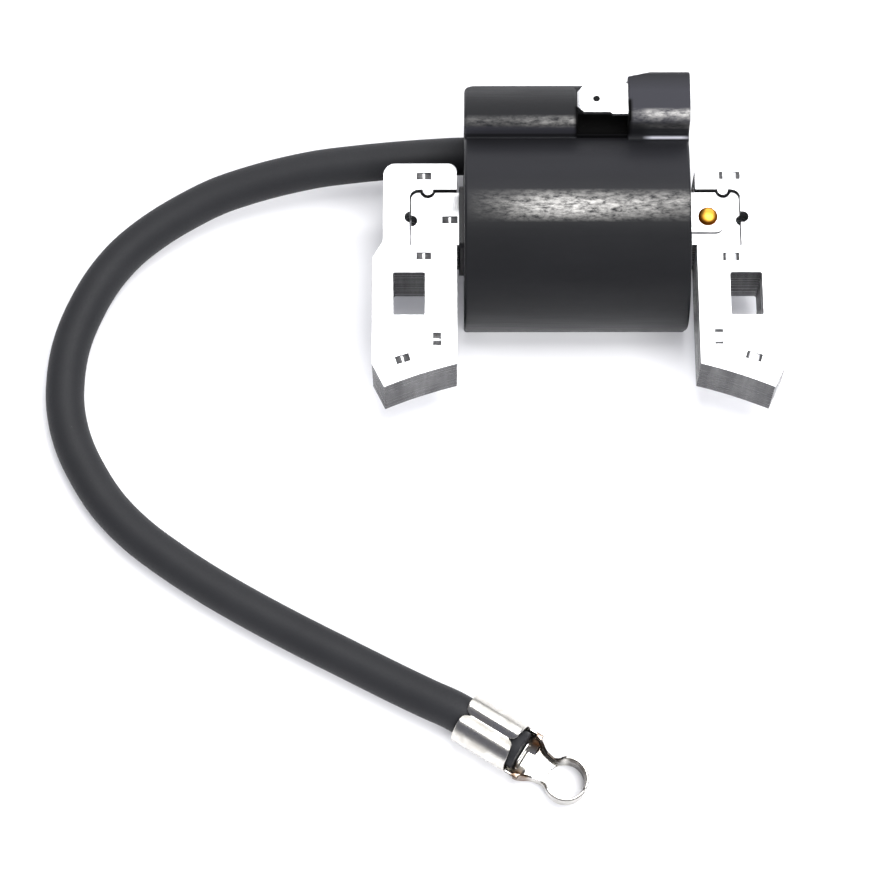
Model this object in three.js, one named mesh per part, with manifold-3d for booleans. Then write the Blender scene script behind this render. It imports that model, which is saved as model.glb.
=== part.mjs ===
// Magneto ignition coil for a small engine: a moulded coil barrel on the crossbar of a laminated core,
// with a high-tension lead that ends in a crimped snap terminal.
// Millimetres. +X along the crossbar, -Y towards the flywheel, +Z out of the face that carries the rivet.
// The origin is on the flat potted back, under the middle of the crossbar.
import * as THREE from "three";
import { mergeVertices } from "three/addons/utils/BufferGeometryUtils.js";
import Module from "manifold-3d";

const wasm = await Module();
wasm.setup();

// ---------- driving dimensions ----------
const touchGap = 0.3;            // clearance between pieces that touch
const wireRadius = 0.25;         // magnet wire leads inside the housing
const pressGap = 0.1;            // clearance of the pressed joint between crossbar and leg

const axisZ = 14;                // height of the crossbar's axis over the back
const stackThickness = 11.1;     // laminated stack
const stackBack = axisZ - stackThickness / 2;
const stackFront = axisZ + stackThickness / 2;

const barHalfWidth = 5.15;
const barEndRound = 1.3;
const barEnds = { "-1": { end: 29.9, notch: 26.9 }, "1": { end: 29.4, notch: 26.6 } };  // by side, in +-X
const barNotchRadius = 1.4;      // locating notch near each end of the crossbar
const barToothRadius = 0.95;     // tooth of the leg that sits in the notch
const keyHole = { x: 29.95, y: 0.4, offset: 0.1, radius: 1.1 };   // two half holes, one in each piece

const leg = {
  inner: 21.65,
  outerTop: 34.95,
  outerWide: 36.8,
  top: 11,
  flareTop: -4.4,
  flareBottom: -7.6,
  wideBottom: -28.1,
  toeX: 34.7,
  toeY: -32.3,
  innerRound: 1.5,
  outerRound: 2.2,
};
const flywheelCentreY = -112;
const poleRadius = 86.6;
const socketGrooveTop = 5.85;    // far side of the clearance groove beside the crossbar
const socketRound = 1.6;
const slot = { x: 30.25, y: -14.65, width: 5.8, height: 8.3, round: 0.4 };
const stakeDepth = 0.6;
// Semi-shear stakes that hold the laminations together: [x, y, length, width, turn].
const legStakes = {
  "-1": [
    [-27.6, 8.5, 2.7, 1.4, 0], [-27.6, -7.3, 2.7, 1.4, 0],
    [-25.2, -23.4, 1.5, 2.5, 0], [-31.3, -27.2, 2.6, 1.5, 0.3],
  ],
  "1": [
    [27.9, 8.6, 3.8, 1.5, 0], [27.7, -7.5, 3, 1.6, 0],
    [25, -23, 1.5, 2.9, 0], [31.1, -26.8, 2.9, 1.5, -0.3],
  ],
};
const barStake = [-22.9, -0.2, 2.8, 1.4, 0];

const bodyLeft = -20.5;
const bodyRight = 19.7;
const barrelRadius = 18.2;
const barrelY = 0.15;
const barrelTilt = THREE.MathUtils.degToRad(20);   // where the flank leaves the round, below the axis
const wall = 2;
const blockFront = 12.3;         // front wall of the upper block
const blockBack = 23;
const blockWall = 1.4;
const ridgeEdgeZ = 27.2;
const ridgeShoulderZ = 32.2;
const terminalLeft = 8.95;
const terminalTopZ = 35;
const terminalEdgeZ = 32.3;
const recess = { left: 0, floor: 28.7 };
const cavityTop = 26.2;
const edgeBevel = 0.5;

const bobbin = {
  left: -21.25,
  right: 20.65,
  halfY: 6.15,
  halfZ: 7.05,
  wall: 0.8,
  round: 1.2,
  boreRound: 0.5,
};
const bobbinFlange = { halfY: 7.45, halfZ: 8.35, round: 3.2, thickness: 0.8 };
const primary = { thickness: 1.1, halfLength: 15.5, round: 2.6 };
const sleeveInner = 10.15;
const sleeveOuter = 10.45;
const secondary = {
  bore: 10.6,
  tube: 11.2,
  wire: 12.4,
  flange: 12.7,
  halfLength: 16.6,
  sections: 5,
  flangeWall: 0.8,
};
const chamberRadius = 13.1;

const tab = {
  tip: -0.1,
  tipChamfer: 1.15,
  width: 5.2,
  thickness: 0.8,
  z: 32.2,
  front: 14.9,
  shoulderX: 6.2,
  shoulder: 0.4,
  end: 16,
  holeX: 3.3,
  hole: 0.62,
  shankHalf: 1.5,
  shankFoot: 23.2,
};
const strap = { left: 16.8, right: 26.4, low: -3, high: 3.5, thickness: 0.5 };
const rivet = { x: 23.7, y: 0.15, shank: 1.2, head: 1.75, headHeight: 0.9 };

const leadDiameter = 7;
const leadSides = 10;
const leadExitY = 16.5;
const leadExitZ = 11.2;
const leadInnerEnd = -14;
const clip = {
  x: -20.5,
  y: -88.6,
  turn: THREE.MathUtils.degToRad(-32),
  radius: 4.35,
  sheet: 0.5,
  crimpLength: 10.3,
  leadEnd: 12.6,
  neckStart: 12.9,
  neckEnd: 17.6,
  neckWide: 3.6,
  neckNarrow: 2.5,
  railHeight: 2.5,
  ringX: 20.8,
  ringRadius: 3.75,
  ringHeight: 4.4,
};

// The free route of the lead from the block to the crimp: down to the table in a wide loop, then along it.
const leadRoute = [
  [-18, 16.5, 11.2], [-22, 16.5, 11.2], [-28, 16.25, 10.9], [-35, 15.9, 10.4], [-41.2, 15.5, 9.8],
  [-47.5, 14.9, 9.2], [-54, 13.75, 8.5], [-60.2, 12.25, 7.8], [-66.3, 10.25, 7.1], [-72, 7.45, 6.4],
  [-77.6, 4, 5.7], [-82.7, -0.2, 5.1], [-86.8, -5.2, 4.5], [-90, -11.1, 4], [-92.3, -17.6, 3.7],
  [-93.2, -24, 3.6], [-93, -30.5, 3.6], [-91.4, -37, 3.6], [-88.5, -43.1, 3.6], [-84.5, -49.2, 3.6],
  [-79.2, -54.7, 3.6], [-73, -59.5, 3.6], [-66, -64.2, 3.6], [-58, -68.95, 3.6], [-49.5, -73.6, 3.6],
  [-41, -78, 3.6], [-33, -82.15, 3.7], [-27, -85.2, 4],
];

// ---------- solids ----------
// A closed geometry as a solid that can be joined and cut.
function solidOf(geometry) {
  const bare = geometry.index ? geometry.clone() : geometry;
  bare.deleteAttribute("normal");
  bare.deleteAttribute("uv");
  const merged = mergeVertices(bare, 1e-4);
  return new wasm.Manifold(new wasm.Mesh({
    numProp: 3,
    vertProperties: merged.attributes.position.array,
    triVerts: new Uint32Array(merged.index.array),
  }));
}

function joined(...solids) {
  return solids.reduce((sum, solid) => sum.add(solid));
}

function cut(solid, ...tools) {
  return tools.reduce((rest, tool) => rest.subtract(tool), solid);
}

function geometryOf(solid) {
  const { numProp, vertProperties, triVerts } = solid.getMesh();
  const points = new Float32Array((vertProperties.length / numProp) * 3);
  for (let i = 0; i < points.length / 3; i++) {
    points.set(vertProperties.subarray(i * numProp, i * numProp + 3), i * 3);
  }
  const shared = new THREE.BufferGeometry();
  shared.setAttribute("position", new THREE.BufferAttribute(points, 3));
  shared.setIndex(new THREE.BufferAttribute(new Uint32Array(triVerts), 1));
  const flat = shared.toNonIndexed();
  flat.computeVertexNormals();
  return flat;
}

// A block between two corners.
function box(low, high) {
  const size = high.map((value, i) => value - low[i]);
  const geometry = new THREE.BoxGeometry(...size);
  geometry.translate(...low.map((value, i) => value + size[i] / 2));
  return solidOf(geometry);
}

// An outline in X and Y raised along Z.
function raised(shape, from, to, curveSegments = 8) {
  const options = { depth: to - from, bevelEnabled: false, curveSegments };
  const geometry = new THREE.ExtrudeGeometry(shape, options);
  geometry.translate(0, 0, from);
  return solidOf(geometry);
}

// An outline in Y and Z drawn out along X, with its end edges bevelled when bevel is over 0.
function drawn(shape, from, to, curveSegments = 8, bevel = 0) {
  const geometry = new THREE.ExtrudeGeometry(shape, {
    depth: to - from - 2 * bevel,
    bevelEnabled: bevel > 0,
    bevelThickness: bevel,
    bevelSize: bevel,
    bevelOffset: -bevel,
    bevelSegments: 1,
    curveSegments,
  });
  const toX = new THREE.Matrix4().makeBasis(
    new THREE.Vector3(0, 1, 0), new THREE.Vector3(0, 0, 1), new THREE.Vector3(1, 0, 0));
  geometry.applyMatrix4(toX);
  geometry.translate(from + bevel, 0, 0);
  return solidOf(geometry);
}

// A closed profile of [radius, x] points spun round the line through (y, z) along X.
function spunAlongX(profile, y, z, segments) {
  const points = profile.map(([radius, x]) => new THREE.Vector2(radius, x));
  const geometry = new THREE.LatheGeometry(points, segments);
  geometry.rotateZ(-Math.PI / 2);
  geometry.translate(0, y, z);
  return solidOf(geometry);
}

function rodAlongX(radius, from, to, y, z, segments = 24) {
  return spunAlongX([[0, from], [radius, from], [radius, to], [0, to]], y, z, segments);
}

function ringAlongX(inner, outer, from, to, segments = 40) {
  const profile = [[inner, from], [outer, from], [outer, to], [inner, to], [inner, from]];
  return spunAlongX(profile, 0, axisZ, segments);
}

function rodAlongZ(radius, from, to, x, y, segments = 24) {
  const geometry = new THREE.CylinderGeometry(radius, radius, to - from, segments);
  geometry.rotateX(Math.PI / 2);
  geometry.translate(x, y, (from + to) / 2);
  return solidOf(geometry);
}

function rodAlongY(radius, from, to, x, z, segments = 16) {
  const geometry = new THREE.CylinderGeometry(radius, radius, to - from, segments);
  geometry.translate(x, (from + to) / 2, z);
  return solidOf(geometry);
}

// A rectangle with round corners about (cx, cy).
function roundedRectangle(cx, cy, halfX, halfY, round) {
  const shape = new THREE.Shape();
  shape.moveTo(cx - halfX + round, cy - halfY);
  shape.lineTo(cx + halfX - round, cy - halfY);
  shape.absarc(cx + halfX - round, cy - halfY + round, round, -Math.PI / 2, 0);
  shape.lineTo(cx + halfX, cy + halfY - round);
  shape.absarc(cx + halfX - round, cy + halfY - round, round, 0, Math.PI / 2);
  shape.lineTo(cx - halfX + round, cy + halfY);
  shape.absarc(cx - halfX + round, cy + halfY - round, round, Math.PI / 2, Math.PI);
  shape.lineTo(cx - halfX, cy - halfY + round);
  shape.absarc(cx - halfX + round, cy - halfY + round, round, Math.PI, 1.5 * Math.PI);
  return shape;
}

// A wire or lead of round section along a list of points.
function wireAlong(points, radius, sides, steps) {
  const section = new THREE.Shape();
  for (let i = 0; i < sides; i++) {
    const angle = (2 * Math.PI * i) / sides;
    const x = radius * Math.cos(angle);
    const y = radius * Math.sin(angle);
    if (i === 0) section.moveTo(x, y);
    else section.lineTo(x, y);
  }
  const path = new THREE.CatmullRomCurve3(points.map((p) => new THREE.Vector3(...p)));
  return solidOf(new THREE.ExtrudeGeometry(section, { extrudePath: path, steps }));
}

// ---------- laminated core ----------
// The dent of a stake in the front of the stack.
function stake([x, y, length, width, turn]) {
  const geometry = new THREE.BoxGeometry(length, width, 2 * stakeDepth);
  geometry.rotateZ(turn);
  geometry.translate(x, y, stackFront);
  return solidOf(geometry);
}

// The outline of one leg; side is +1 for the right leg and -1 for the left one.
function legOutline(side) {
  const point = (x, y) => [side * x, y];
  const shape = new THREE.Shape();
  const arc = (cx, cy, radius, from, to) => {
    const start = side > 0 ? from : Math.PI - from;
    const end = side > 0 ? to : Math.PI - to;
    shape.absarc(side * cx, cy, radius, start, end, side > 0 ? from > to : from < to);
  };
  const toeAngle = Math.atan2(leg.toeY - flywheelCentreY, leg.toeX);
  const heelY = flywheelCentreY + Math.sqrt(poleRadius ** 2 - leg.inner ** 2);
  const heelAngle = Math.atan2(heelY - flywheelCentreY, leg.inner);
  shape.moveTo(...point(leg.inner, leg.top - leg.innerRound));
  arc(leg.inner + leg.innerRound, leg.top - leg.innerRound, leg.innerRound, Math.PI, Math.PI / 2);
  shape.lineTo(...point(leg.outerTop - leg.outerRound, leg.top));
  arc(leg.outerTop - leg.outerRound, leg.top - leg.outerRound, leg.outerRound, Math.PI / 2, 0);
  shape.lineTo(...point(leg.outerTop, leg.flareTop));
  shape.lineTo(...point(leg.outerWide, leg.flareBottom));
  shape.lineTo(...point(leg.outerWide, leg.wideBottom));
  arc(0, flywheelCentreY, poleRadius, toeAngle, heelAngle);
  shape.lineTo(...point(leg.inner, leg.top - leg.innerRound));
  return shape;
}

// A block right through the stack between two distances from the middle, on one side of it.
function throughBlock(side, from, to, low, high) {
  const left = Math.min(side * from, side * to);
  const right = Math.max(side * from, side * to);
  return box([left, low, 0], [right, high, 2 * stackFront]);
}

function throughHole(radius, x, y, segments = 20) {
  return rodAlongZ(radius, 0, 2 * stackFront, x, y, segments);
}

// The socket for the crossbar runs past the leg's inner edge by mouthReach, so that its mouth is square.
function makeLeg(side) {
  const mouthReach = 2;
  const bar = barEnds[side];
  const socketEnd = bar.end + touchGap;
  const socketStart = leg.inner - mouthReach;
  const low = -barHalfWidth - pressGap;
  const socket = raised(
    roundedRectangle(side * (socketStart + socketEnd) / 2, (low + socketGrooveTop) / 2,
      (socketEnd - socketStart) / 2, (socketGrooveTop - low) / 2, socketRound),
    0, 2 * stackFront);
  const squareFoot = throughBlock(side, socketStart, socketEnd, low, 0);
  const mouth = throughBlock(side, socketStart, leg.inner + mouthReach, low, socketGrooveTop);
  const tooth = throughHole(barToothRadius, side * bar.notch, socketGrooveTop - 0.15);
  const key = throughHole(keyHole.radius, side * (keyHole.x + keyHole.offset), keyHole.y);
  const mountSlot = raised(
    roundedRectangle(side * slot.x, slot.y, slot.width / 2, slot.height / 2, slot.round),
    0, 2 * stackFront, 3);
  return cut(raised(legOutline(side), stackBack, stackFront),
    cut(joined(socket, squareFoot, mouth), tooth), key, mountSlot, ...legStakes[side].map(stake));
}

function makeBar() {
  const left = -barEnds["-1"].end;
  const right = barEnds["1"].end;
  const shape = new THREE.Shape();
  shape.moveTo(left, -barHalfWidth);
  shape.lineTo(right, -barHalfWidth);
  shape.lineTo(right, barHalfWidth - barEndRound);
  shape.absarc(right - barEndRound, barHalfWidth - barEndRound, barEndRound, 0, Math.PI / 2);
  shape.lineTo(left + barEndRound, barHalfWidth);
  shape.absarc(left + barEndRound, barHalfWidth - barEndRound, barEndRound, Math.PI / 2, Math.PI);
  const notches = [-1, 1].map((side) => joined(
    throughHole(barNotchRadius, side * barEnds[side].notch, barHalfWidth + touchGap),
    throughHole(keyHole.radius, side * (keyHole.x - keyHole.offset), -keyHole.y)));
  return cut(raised(shape, stackBack, stackFront), ...notches,
    stake(barStake), throughHole(rivet.shank + touchGap, rivet.x, rivet.y));
}

// ---------- moulded housing ----------
// The round and the two flanks of the barrel, from the block's foot over the front to the back plane.
function barrelSide(shape, radius, footY, floorZ) {
  const footAngle = Math.acos((footY - barrelY) / radius);
  const flankY = barrelY - radius * Math.cos(barrelTilt);
  const flankZ = axisZ - radius * Math.sin(barrelTilt);
  shape.absarc(barrelY, axisZ, radius, footAngle, Math.PI + barrelTilt);
  shape.lineTo(flankY + (flankZ - floorZ) * Math.tan(barrelTilt), floorZ);
}

function ridgeProfile() {
  const shape = new THREE.Shape();
  const footZ = axisZ + Math.sqrt(barrelRadius ** 2 - (blockFront - barrelY) ** 2);
  shape.moveTo(blockBack, 0);
  shape.lineTo(blockBack, ridgeEdgeZ - 0.6);
  shape.lineTo(blockBack - 0.6, ridgeEdgeZ);
  shape.quadraticCurveTo(blockFront + 5, ridgeShoulderZ - 1.2, blockFront + 2.2, ridgeShoulderZ);
  shape.quadraticCurveTo(blockFront, ridgeShoulderZ, blockFront, ridgeShoulderZ - 2);
  shape.lineTo(blockFront, footZ + 0.6);
  shape.lineTo(blockFront - 0.5, footZ + 0.4);
  barrelSide(shape, barrelRadius, blockFront - 0.5, 0);
  return shape;
}

function terminalProfile() {
  const shape = new THREE.Shape();
  shape.moveTo(blockBack, 20);
  shape.lineTo(blockBack, terminalEdgeZ - 0.5);
  shape.lineTo(blockBack - 0.5, terminalEdgeZ);
  shape.quadraticCurveTo(blockFront + 6, terminalTopZ, blockFront + 1.8, terminalTopZ - 0.1);
  shape.quadraticCurveTo(blockFront, terminalTopZ - 0.1, blockFront, terminalTopZ - 1.8);
  shape.lineTo(blockFront, 20);
  return shape;
}

// The inner space that the coil and the electronics go into; inset draws the potting that fills it.
function cavityProfile(inset, floorZ) {
  const radius = barrelRadius - wall - inset;
  const top = cavityTop - inset;
  const footY = barrelY + Math.sqrt(radius ** 2 - (top - axisZ) ** 2);
  const shape = new THREE.Shape();
  shape.moveTo(blockBack - blockWall - inset, floorZ);
  shape.lineTo(blockBack - blockWall - inset, top);
  shape.lineTo(footY, top);
  barrelSide(shape, radius, footY, floorZ);
  return shape;
}

function boreThrough(from, to) {
  return drawn(
    roundedRectangle(0, axisZ, bobbin.halfY + touchGap, bobbin.halfZ + touchGap, bobbin.round + touchGap),
    from, to, 3);
}

// Room for the stop terminal's shank and its leg, open to the space below.
function tabRoom(gap) {
  const middle = tab.front + tab.width / 2;
  return joined(
    box([terminalLeft - 1, tab.front - tab.shoulder - gap, tab.z - tab.thickness / 2 - gap],
      [tab.end + gap, tab.front + tab.width + tab.shoulder + gap, tab.z + tab.thickness / 2 + gap]),
    box([tab.end - tab.thickness - gap, middle - tab.shankHalf - gap, tab.shankFoot - 1],
      [tab.end + gap, middle + tab.shankHalf + gap, tab.z]));
}

function makeHousing() {
  const cornerRound = new THREE.Shape();
  const cornerRadius = 2;
  cornerRound.moveTo(bodyLeft - 1, blockBack + 1);
  cornerRound.lineTo(bodyLeft - 1, blockBack - cornerRadius);
  cornerRound.lineTo(bodyLeft, blockBack - cornerRadius);
  cornerRound.absarc(
    bodyLeft + cornerRadius, blockBack - cornerRadius, cornerRadius, Math.PI, Math.PI / 2, true);
  cornerRound.lineTo(bodyLeft + cornerRadius, blockBack + 1);
  const terminalCorner = new THREE.Shape();
  terminalCorner.moveTo(terminalLeft - 1, blockBack + 1);
  terminalCorner.lineTo(terminalLeft - 1, blockBack - 1.35);
  terminalCorner.lineTo(terminalLeft, blockBack - 1.35);
  terminalCorner.quadraticCurveTo(terminalLeft + 2.2, blockBack - 0.7, terminalLeft + 3.6, blockBack);
  terminalCorner.lineTo(terminalLeft + 3.6, blockBack + 1);
  const body = joined(
    drawn(ridgeProfile(), bodyLeft, bodyRight, 30, edgeBevel),
    drawn(terminalProfile(), terminalLeft, bodyRight, 6, edgeBevel));
  return cut(body,
    box([recess.left, blockFront - 1, recess.floor], [terminalLeft + edgeBevel, blockBack + 1, 40]),
    raised(cornerRound, -1, 40, 5),
    raised(terminalCorner, ridgeEdgeZ, 40, 4),
    drawn(cavityProfile(0, -1), bodyLeft + wall, bodyRight - wall, 26),
    boreThrough(bodyLeft - 1, bodyRight + 1),
    rodAlongX(leadDiameter / 2 + touchGap, bodyLeft - 1, bodyLeft + wall + 1, leadExitY, leadExitZ),
    tabRoom(touchGap));
}

// Epoxy that fills the housing round the coil and closes its back.
function makePotting() {
  const left = bodyLeft + wall + pressGap;
  const right = bodyRight - wall - pressGap;
  return cut(drawn(cavityProfile(pressGap, 0), left, right, 26),
    rodAlongX(chamberRadius, left - 1, right + 1, 0, axisZ, 40),
    box([-13, 12, 3], [right + 1, 20.3, 24.9]),
    rodAlongX(leadDiameter / 2 + touchGap, left - 1, -12, leadExitY, leadExitZ),
    tabRoom(touchGap));
}

// ---------- coil ----------
function makePrimaryBobbin() {
  const tube = drawn(
    roundedRectangle(0, axisZ, bobbin.halfY, bobbin.halfZ, bobbin.round), bobbin.left, bobbin.right, 4);
  const flangeShape = roundedRectangle(0, axisZ, bobbinFlange.halfY, bobbinFlange.halfZ, bobbinFlange.round);
  const flange = (x) => drawn(flangeShape, x, x + bobbinFlange.thickness, 6);
  const bore = roundedRectangle(
    0, axisZ, bobbin.halfY - bobbin.wall, bobbin.halfZ - bobbin.wall, bobbin.boreRound);
  const windingGap = 0.2;
  return cut(
    joined(
      tube,
      flange(-primary.halfLength - windingGap - bobbinFlange.thickness),
      flange(primary.halfLength + windingGap)),
    drawn(bore, 2 * bobbin.left, 2 * bobbin.right, 3));
}

function makePrimaryWinding() {
  const gap = 0.1;
  const outer = roundedRectangle(
    0, axisZ, bobbin.halfY + gap + primary.thickness, bobbin.halfZ + gap + primary.thickness,
    primary.round);
  return cut(
    drawn(outer, -primary.halfLength, primary.halfLength, 6),
    drawn(roundedRectangle(0, axisZ, bobbin.halfY + gap, bobbin.halfZ + gap, bobbin.round), -30, 30, 4));
}

const sectionPitch = (2 * secondary.halfLength - secondary.flangeWall) / secondary.sections;

function makeSecondaryBobbin() {
  const half = secondary.halfLength;
  const profile = [[secondary.bore, -half]];
  for (let i = 0; i <= secondary.sections; i++) {
    const start = -half + i * sectionPitch;
    if (i > 0) profile.push([secondary.tube, start]);
    profile.push([secondary.flange, start], [secondary.flange, start + secondary.flangeWall]);
    if (i < secondary.sections) profile.push([secondary.tube, start + secondary.flangeWall]);
  }
  profile.push([secondary.bore, half], [secondary.bore, -half]);
  return spunAlongX(profile, 0, axisZ, 32);
}

function makeSecondarySection(index) {
  const start = -secondary.halfLength + index * sectionPitch + secondary.flangeWall + 0.1;
  return ringAlongX(
    secondary.tube + 0.1, secondary.wire, start, start + sectionPitch - secondary.flangeWall - 0.2, 32);
}

// ---------- electronics in the upper block ----------
const board = { front: 18.2, back: 19.4, left: -5, right: 15.6, low: 4, high: 24.2 };

// A part with a round body lying along X and two bent legs that reach the board.
function axialPart(x, z, length, radius) {
  const y = board.front - touchGap - radius - 0.2;
  const legX = length / 2 + 1;
  const waist = 0.86;
  const wire = [
    [x - legX, board.front - 0.1, z], [x - legX, y + 0.4, z], [x - legX + 0.6, y, z],
    [x + legX - 0.6, y, z], [x + legX, y + 0.4, z], [x + legX, board.front - 0.1, z],
  ];
  const body = spunAlongX(
    [
      [0, x - length / 2],
      [radius, x - length / 2],
      [radius, x - length / 4],
      [radius * waist, x - length / 5],
      [radius * waist, x + length / 5],
      [radius, x + length / 4],
      [radius, x + length / 2],
      [0, x + length / 2],
    ],
    y, z, 16);
  return joined(body, wireAlong(wire, 0.3, 6, 14));
}

function makePowerTransistor() {
  const y = board.front - touchGap;
  const body = box([2.4, y - 2.6, 9], [10.4, y, 20]);
  const legs = [4, 6.4, 8.8].map((x) => box([x - 0.35, y - 1.6, 5.4], [x + 0.35, y - 1, 9.5]));
  return cut(joined(body, ...legs), rodAlongY(1.6, y - 4, y + 1, 6.4, 17));
}

function makeTriggerTransistor() {
  const middle = board.front - touchGap - 2.1;
  const round = rodAlongZ(2.2, 17.5, 22.5, -1.8, middle, 20);
  const flatCut = box([-6, middle + 1.4, 17], [2, middle + 4, 23]);
  const legs = [-3, -1.8, -0.6].map(
    (x) => box([x - 0.2, middle - 0.2, 14.2], [x + 0.2, middle + 0.2, 17.8]));
  return joined(cut(round, flatCut), ...legs);
}

// ---------- metal fittings ----------
function makeStopTerminal() {
  const shape = new THREE.Shape();
  const low = tab.front;
  const high = tab.front + tab.width;
  const chamfer = tab.tipChamfer;
  shape.moveTo(tab.tip + chamfer, low);
  shape.lineTo(tab.shoulderX - 0.5, low);
  shape.lineTo(tab.shoulderX, low - tab.shoulder);
  shape.lineTo(tab.end, low - tab.shoulder);
  shape.lineTo(tab.end, high + tab.shoulder);
  shape.lineTo(tab.shoulderX, high + tab.shoulder);
  shape.lineTo(tab.shoulderX - 0.5, high);
  shape.lineTo(tab.tip + chamfer, high);
  shape.lineTo(tab.tip, high - chamfer);
  shape.lineTo(tab.tip, low + chamfer);
  const middle = (low + high) / 2;
  const blade = raised(shape, tab.z - tab.thickness / 2, tab.z + tab.thickness / 2);
  const shank = box([tab.end - tab.thickness, middle - tab.shankHalf, tab.shankFoot],
    [tab.end, middle + tab.shankHalf, tab.z]);
  return cut(joined(blade, shank), rodAlongZ(tab.hole, 20, 40, tab.holeX, middle, 16));
}

function makeGroundStrap() {
  const shape = new THREE.Shape();
  const round = 1.3;
  shape.moveTo(strap.left, strap.low);
  shape.lineTo(strap.right - round, strap.low);
  shape.absarc(strap.right - round, strap.low + round, round, -Math.PI / 2, 0);
  shape.lineTo(strap.right, strap.high - 0.4);
  shape.lineTo(strap.right - 0.4, strap.high);
  shape.lineTo(strap.left, strap.high);
  return cut(raised(shape, stackFront, stackFront + strap.thickness, 5),
    rodAlongZ(rivet.shank + touchGap, 0, 40, rivet.x, rivet.y, 20));
}

function makeRivet() {
  const top = stackFront + strap.thickness;
  const bottom = stackBack;
  const tail = 0.8;
  const tailRound = 0.3;
  const brim = 0.35;
  const profile = [
    [0, bottom - tail], [rivet.head - tailRound, bottom - tail], [rivet.head, bottom - tail + tailRound],
    [rivet.head, bottom], [rivet.shank, bottom], [rivet.shank, top], [rivet.head, top],
    [rivet.head, top + brim], [rivet.head * 0.78, top + rivet.headHeight * 0.85],
    [rivet.head * 0.4, top + rivet.headHeight], [0, top + rivet.headHeight],
  ];
  const points = profile.map(([radius, z]) => new THREE.Vector2(radius, z));
  const geometry = new THREE.LatheGeometry(points, 24);
  geometry.rotateX(Math.PI / 2);
  geometry.translate(rivet.x, rivet.y, 0);
  return solidOf(geometry);
}

function makeContact() {
  const start = leadInnerEnd + touchGap;
  return joined(
    rodAlongX(2.6, start, start + 0.9, leadExitY, leadExitZ, 16),
    rodAlongX(1.1, start, start + 4, leadExitY, leadExitZ, 12));
}

// ---------- lead and its snap terminal ----------
// A point on the terminal's own axis, measured from the start of the crimp.
function clipPoint(along) {
  return [clip.x + along * Math.cos(clip.turn), clip.y + along * Math.sin(clip.turn), clip.radius];
}

function makeLead() {
  const start = [leadInnerEnd, leadExitY, leadExitZ];
  const points = [start, ...leadRoute, clipPoint(-2), clipPoint(4), clipPoint(clip.leadEnd)];
  return wireAlong(points, leadDiameter / 2, leadSides, 34);
}

// Made on its own axis: x along the lead, z up, with z = 0 at the lead's centre.
function makePlugTerminal() {
  const outer = clip.radius;
  const inner = clip.radius - clip.sheet;
  const ringOf = (to, big, small) => spunAlongX(
    [[small, 0], [big, 0], [big, to], [small, to], [small, 0]], 0, 0, 28);
  const crimp = cut(ringOf(clip.crimpLength, outer, inner),
    box([-1, -0.2, 0], [clip.crimpLength + 1, 0.2, outer + 1]));
  const cradle = cut(ringOf(clip.neckStart + 0.8, outer, inner), box([-1, -9, -1.2], [20, 9, 9]));
  const floorLow = -outer;
  const neckShape = (inset) => {
    const shape = new THREE.Shape();
    const start = clip.neckStart - 0.4;
    const narrowAt = clip.neckEnd - 1.4;
    const end = clip.ringX - 2.4;
    shape.moveTo(start - inset, -clip.neckWide + inset);
    shape.bezierCurveTo(start + 1.6, -clip.neckWide + inset, narrowAt - 2, -clip.neckNarrow + inset,
      narrowAt, -clip.neckNarrow + inset);
    shape.lineTo(end + inset, -clip.neckNarrow + inset);
    shape.lineTo(end + inset, clip.neckNarrow - inset);
    shape.lineTo(narrowAt, clip.neckNarrow - inset);
    shape.bezierCurveTo(narrowAt - 2, clip.neckNarrow - inset, start + 1.6, clip.neckWide - inset,
      start - inset, clip.neckWide - inset);
    return shape;
  };
  const channel = cut(
    raised(neckShape(0), floorLow, floorLow + clip.railHeight, 6),
    raised(neckShape(clip.sheet), floorLow + clip.sheet, 9, 6));
  const ringBore = rodAlongZ(clip.ringRadius - clip.sheet, -9, 9, clip.ringX, 0, 28);
  const ring = cut(
    rodAlongZ(clip.ringRadius, floorLow, floorLow + clip.ringHeight, clip.ringX, 0, 28),
    ringBore,
    box([clip.ringX, -0.25, -9], [clip.ringX + 9, 0.25, 9]));
  const mouth = box([clip.neckEnd - 1.5, -clip.neckNarrow + clip.sheet, floorLow + clip.sheet],
    [clip.ringX - 1, clip.neckNarrow - clip.sheet, floorLow + clip.railHeight]);
  return cut(joined(crimp, cradle, cut(channel, ringBore), cut(ring, mouth)));
}

// ---------- assembly ----------
const finishes = {
  steel: { color: 0xd9dadc, metalness: 0.85, roughness: 0.35 },
  plastic: { color: 0x2e2e31, metalness: 0, roughness: 0.45 },
  potting: { color: 0x1d1c1b, metalness: 0, roughness: 0.3 },
  nylon: { color: 0x222224, metalness: 0, roughness: 0.5 },
  copper: { color: 0xb8642c, metalness: 0.9, roughness: 0.35 },
  film: { color: 0xd8a24a, metalness: 0, roughness: 0.4 },
  board: { color: 0x2f6b3c, metalness: 0, roughness: 0.6 },
  component: { color: 0x1c1c1e, metalness: 0, roughness: 0.5 },
  resistor: { color: 0xcbb28a, metalness: 0, roughness: 0.5 },
  tin: { color: 0xe4e5e6, metalness: 0.9, roughness: 0.25 },
  brass: { color: 0xd89a3a, metalness: 0.9, roughness: 0.3 },
  rubber: { color: 0x333336, metalness: 0, roughness: 0.75 },
  nickel: { color: 0xcfc8bd, metalness: 0.95, roughness: 0.2 },
};
const coil = new THREE.Group();

function place(name, solid, finish, parent = coil) {
  const mesh = new THREE.Mesh(geometryOf(solid), new THREE.MeshStandardMaterial(finishes[finish]));
  mesh.name = name;
  parent.add(mesh);
}

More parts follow.
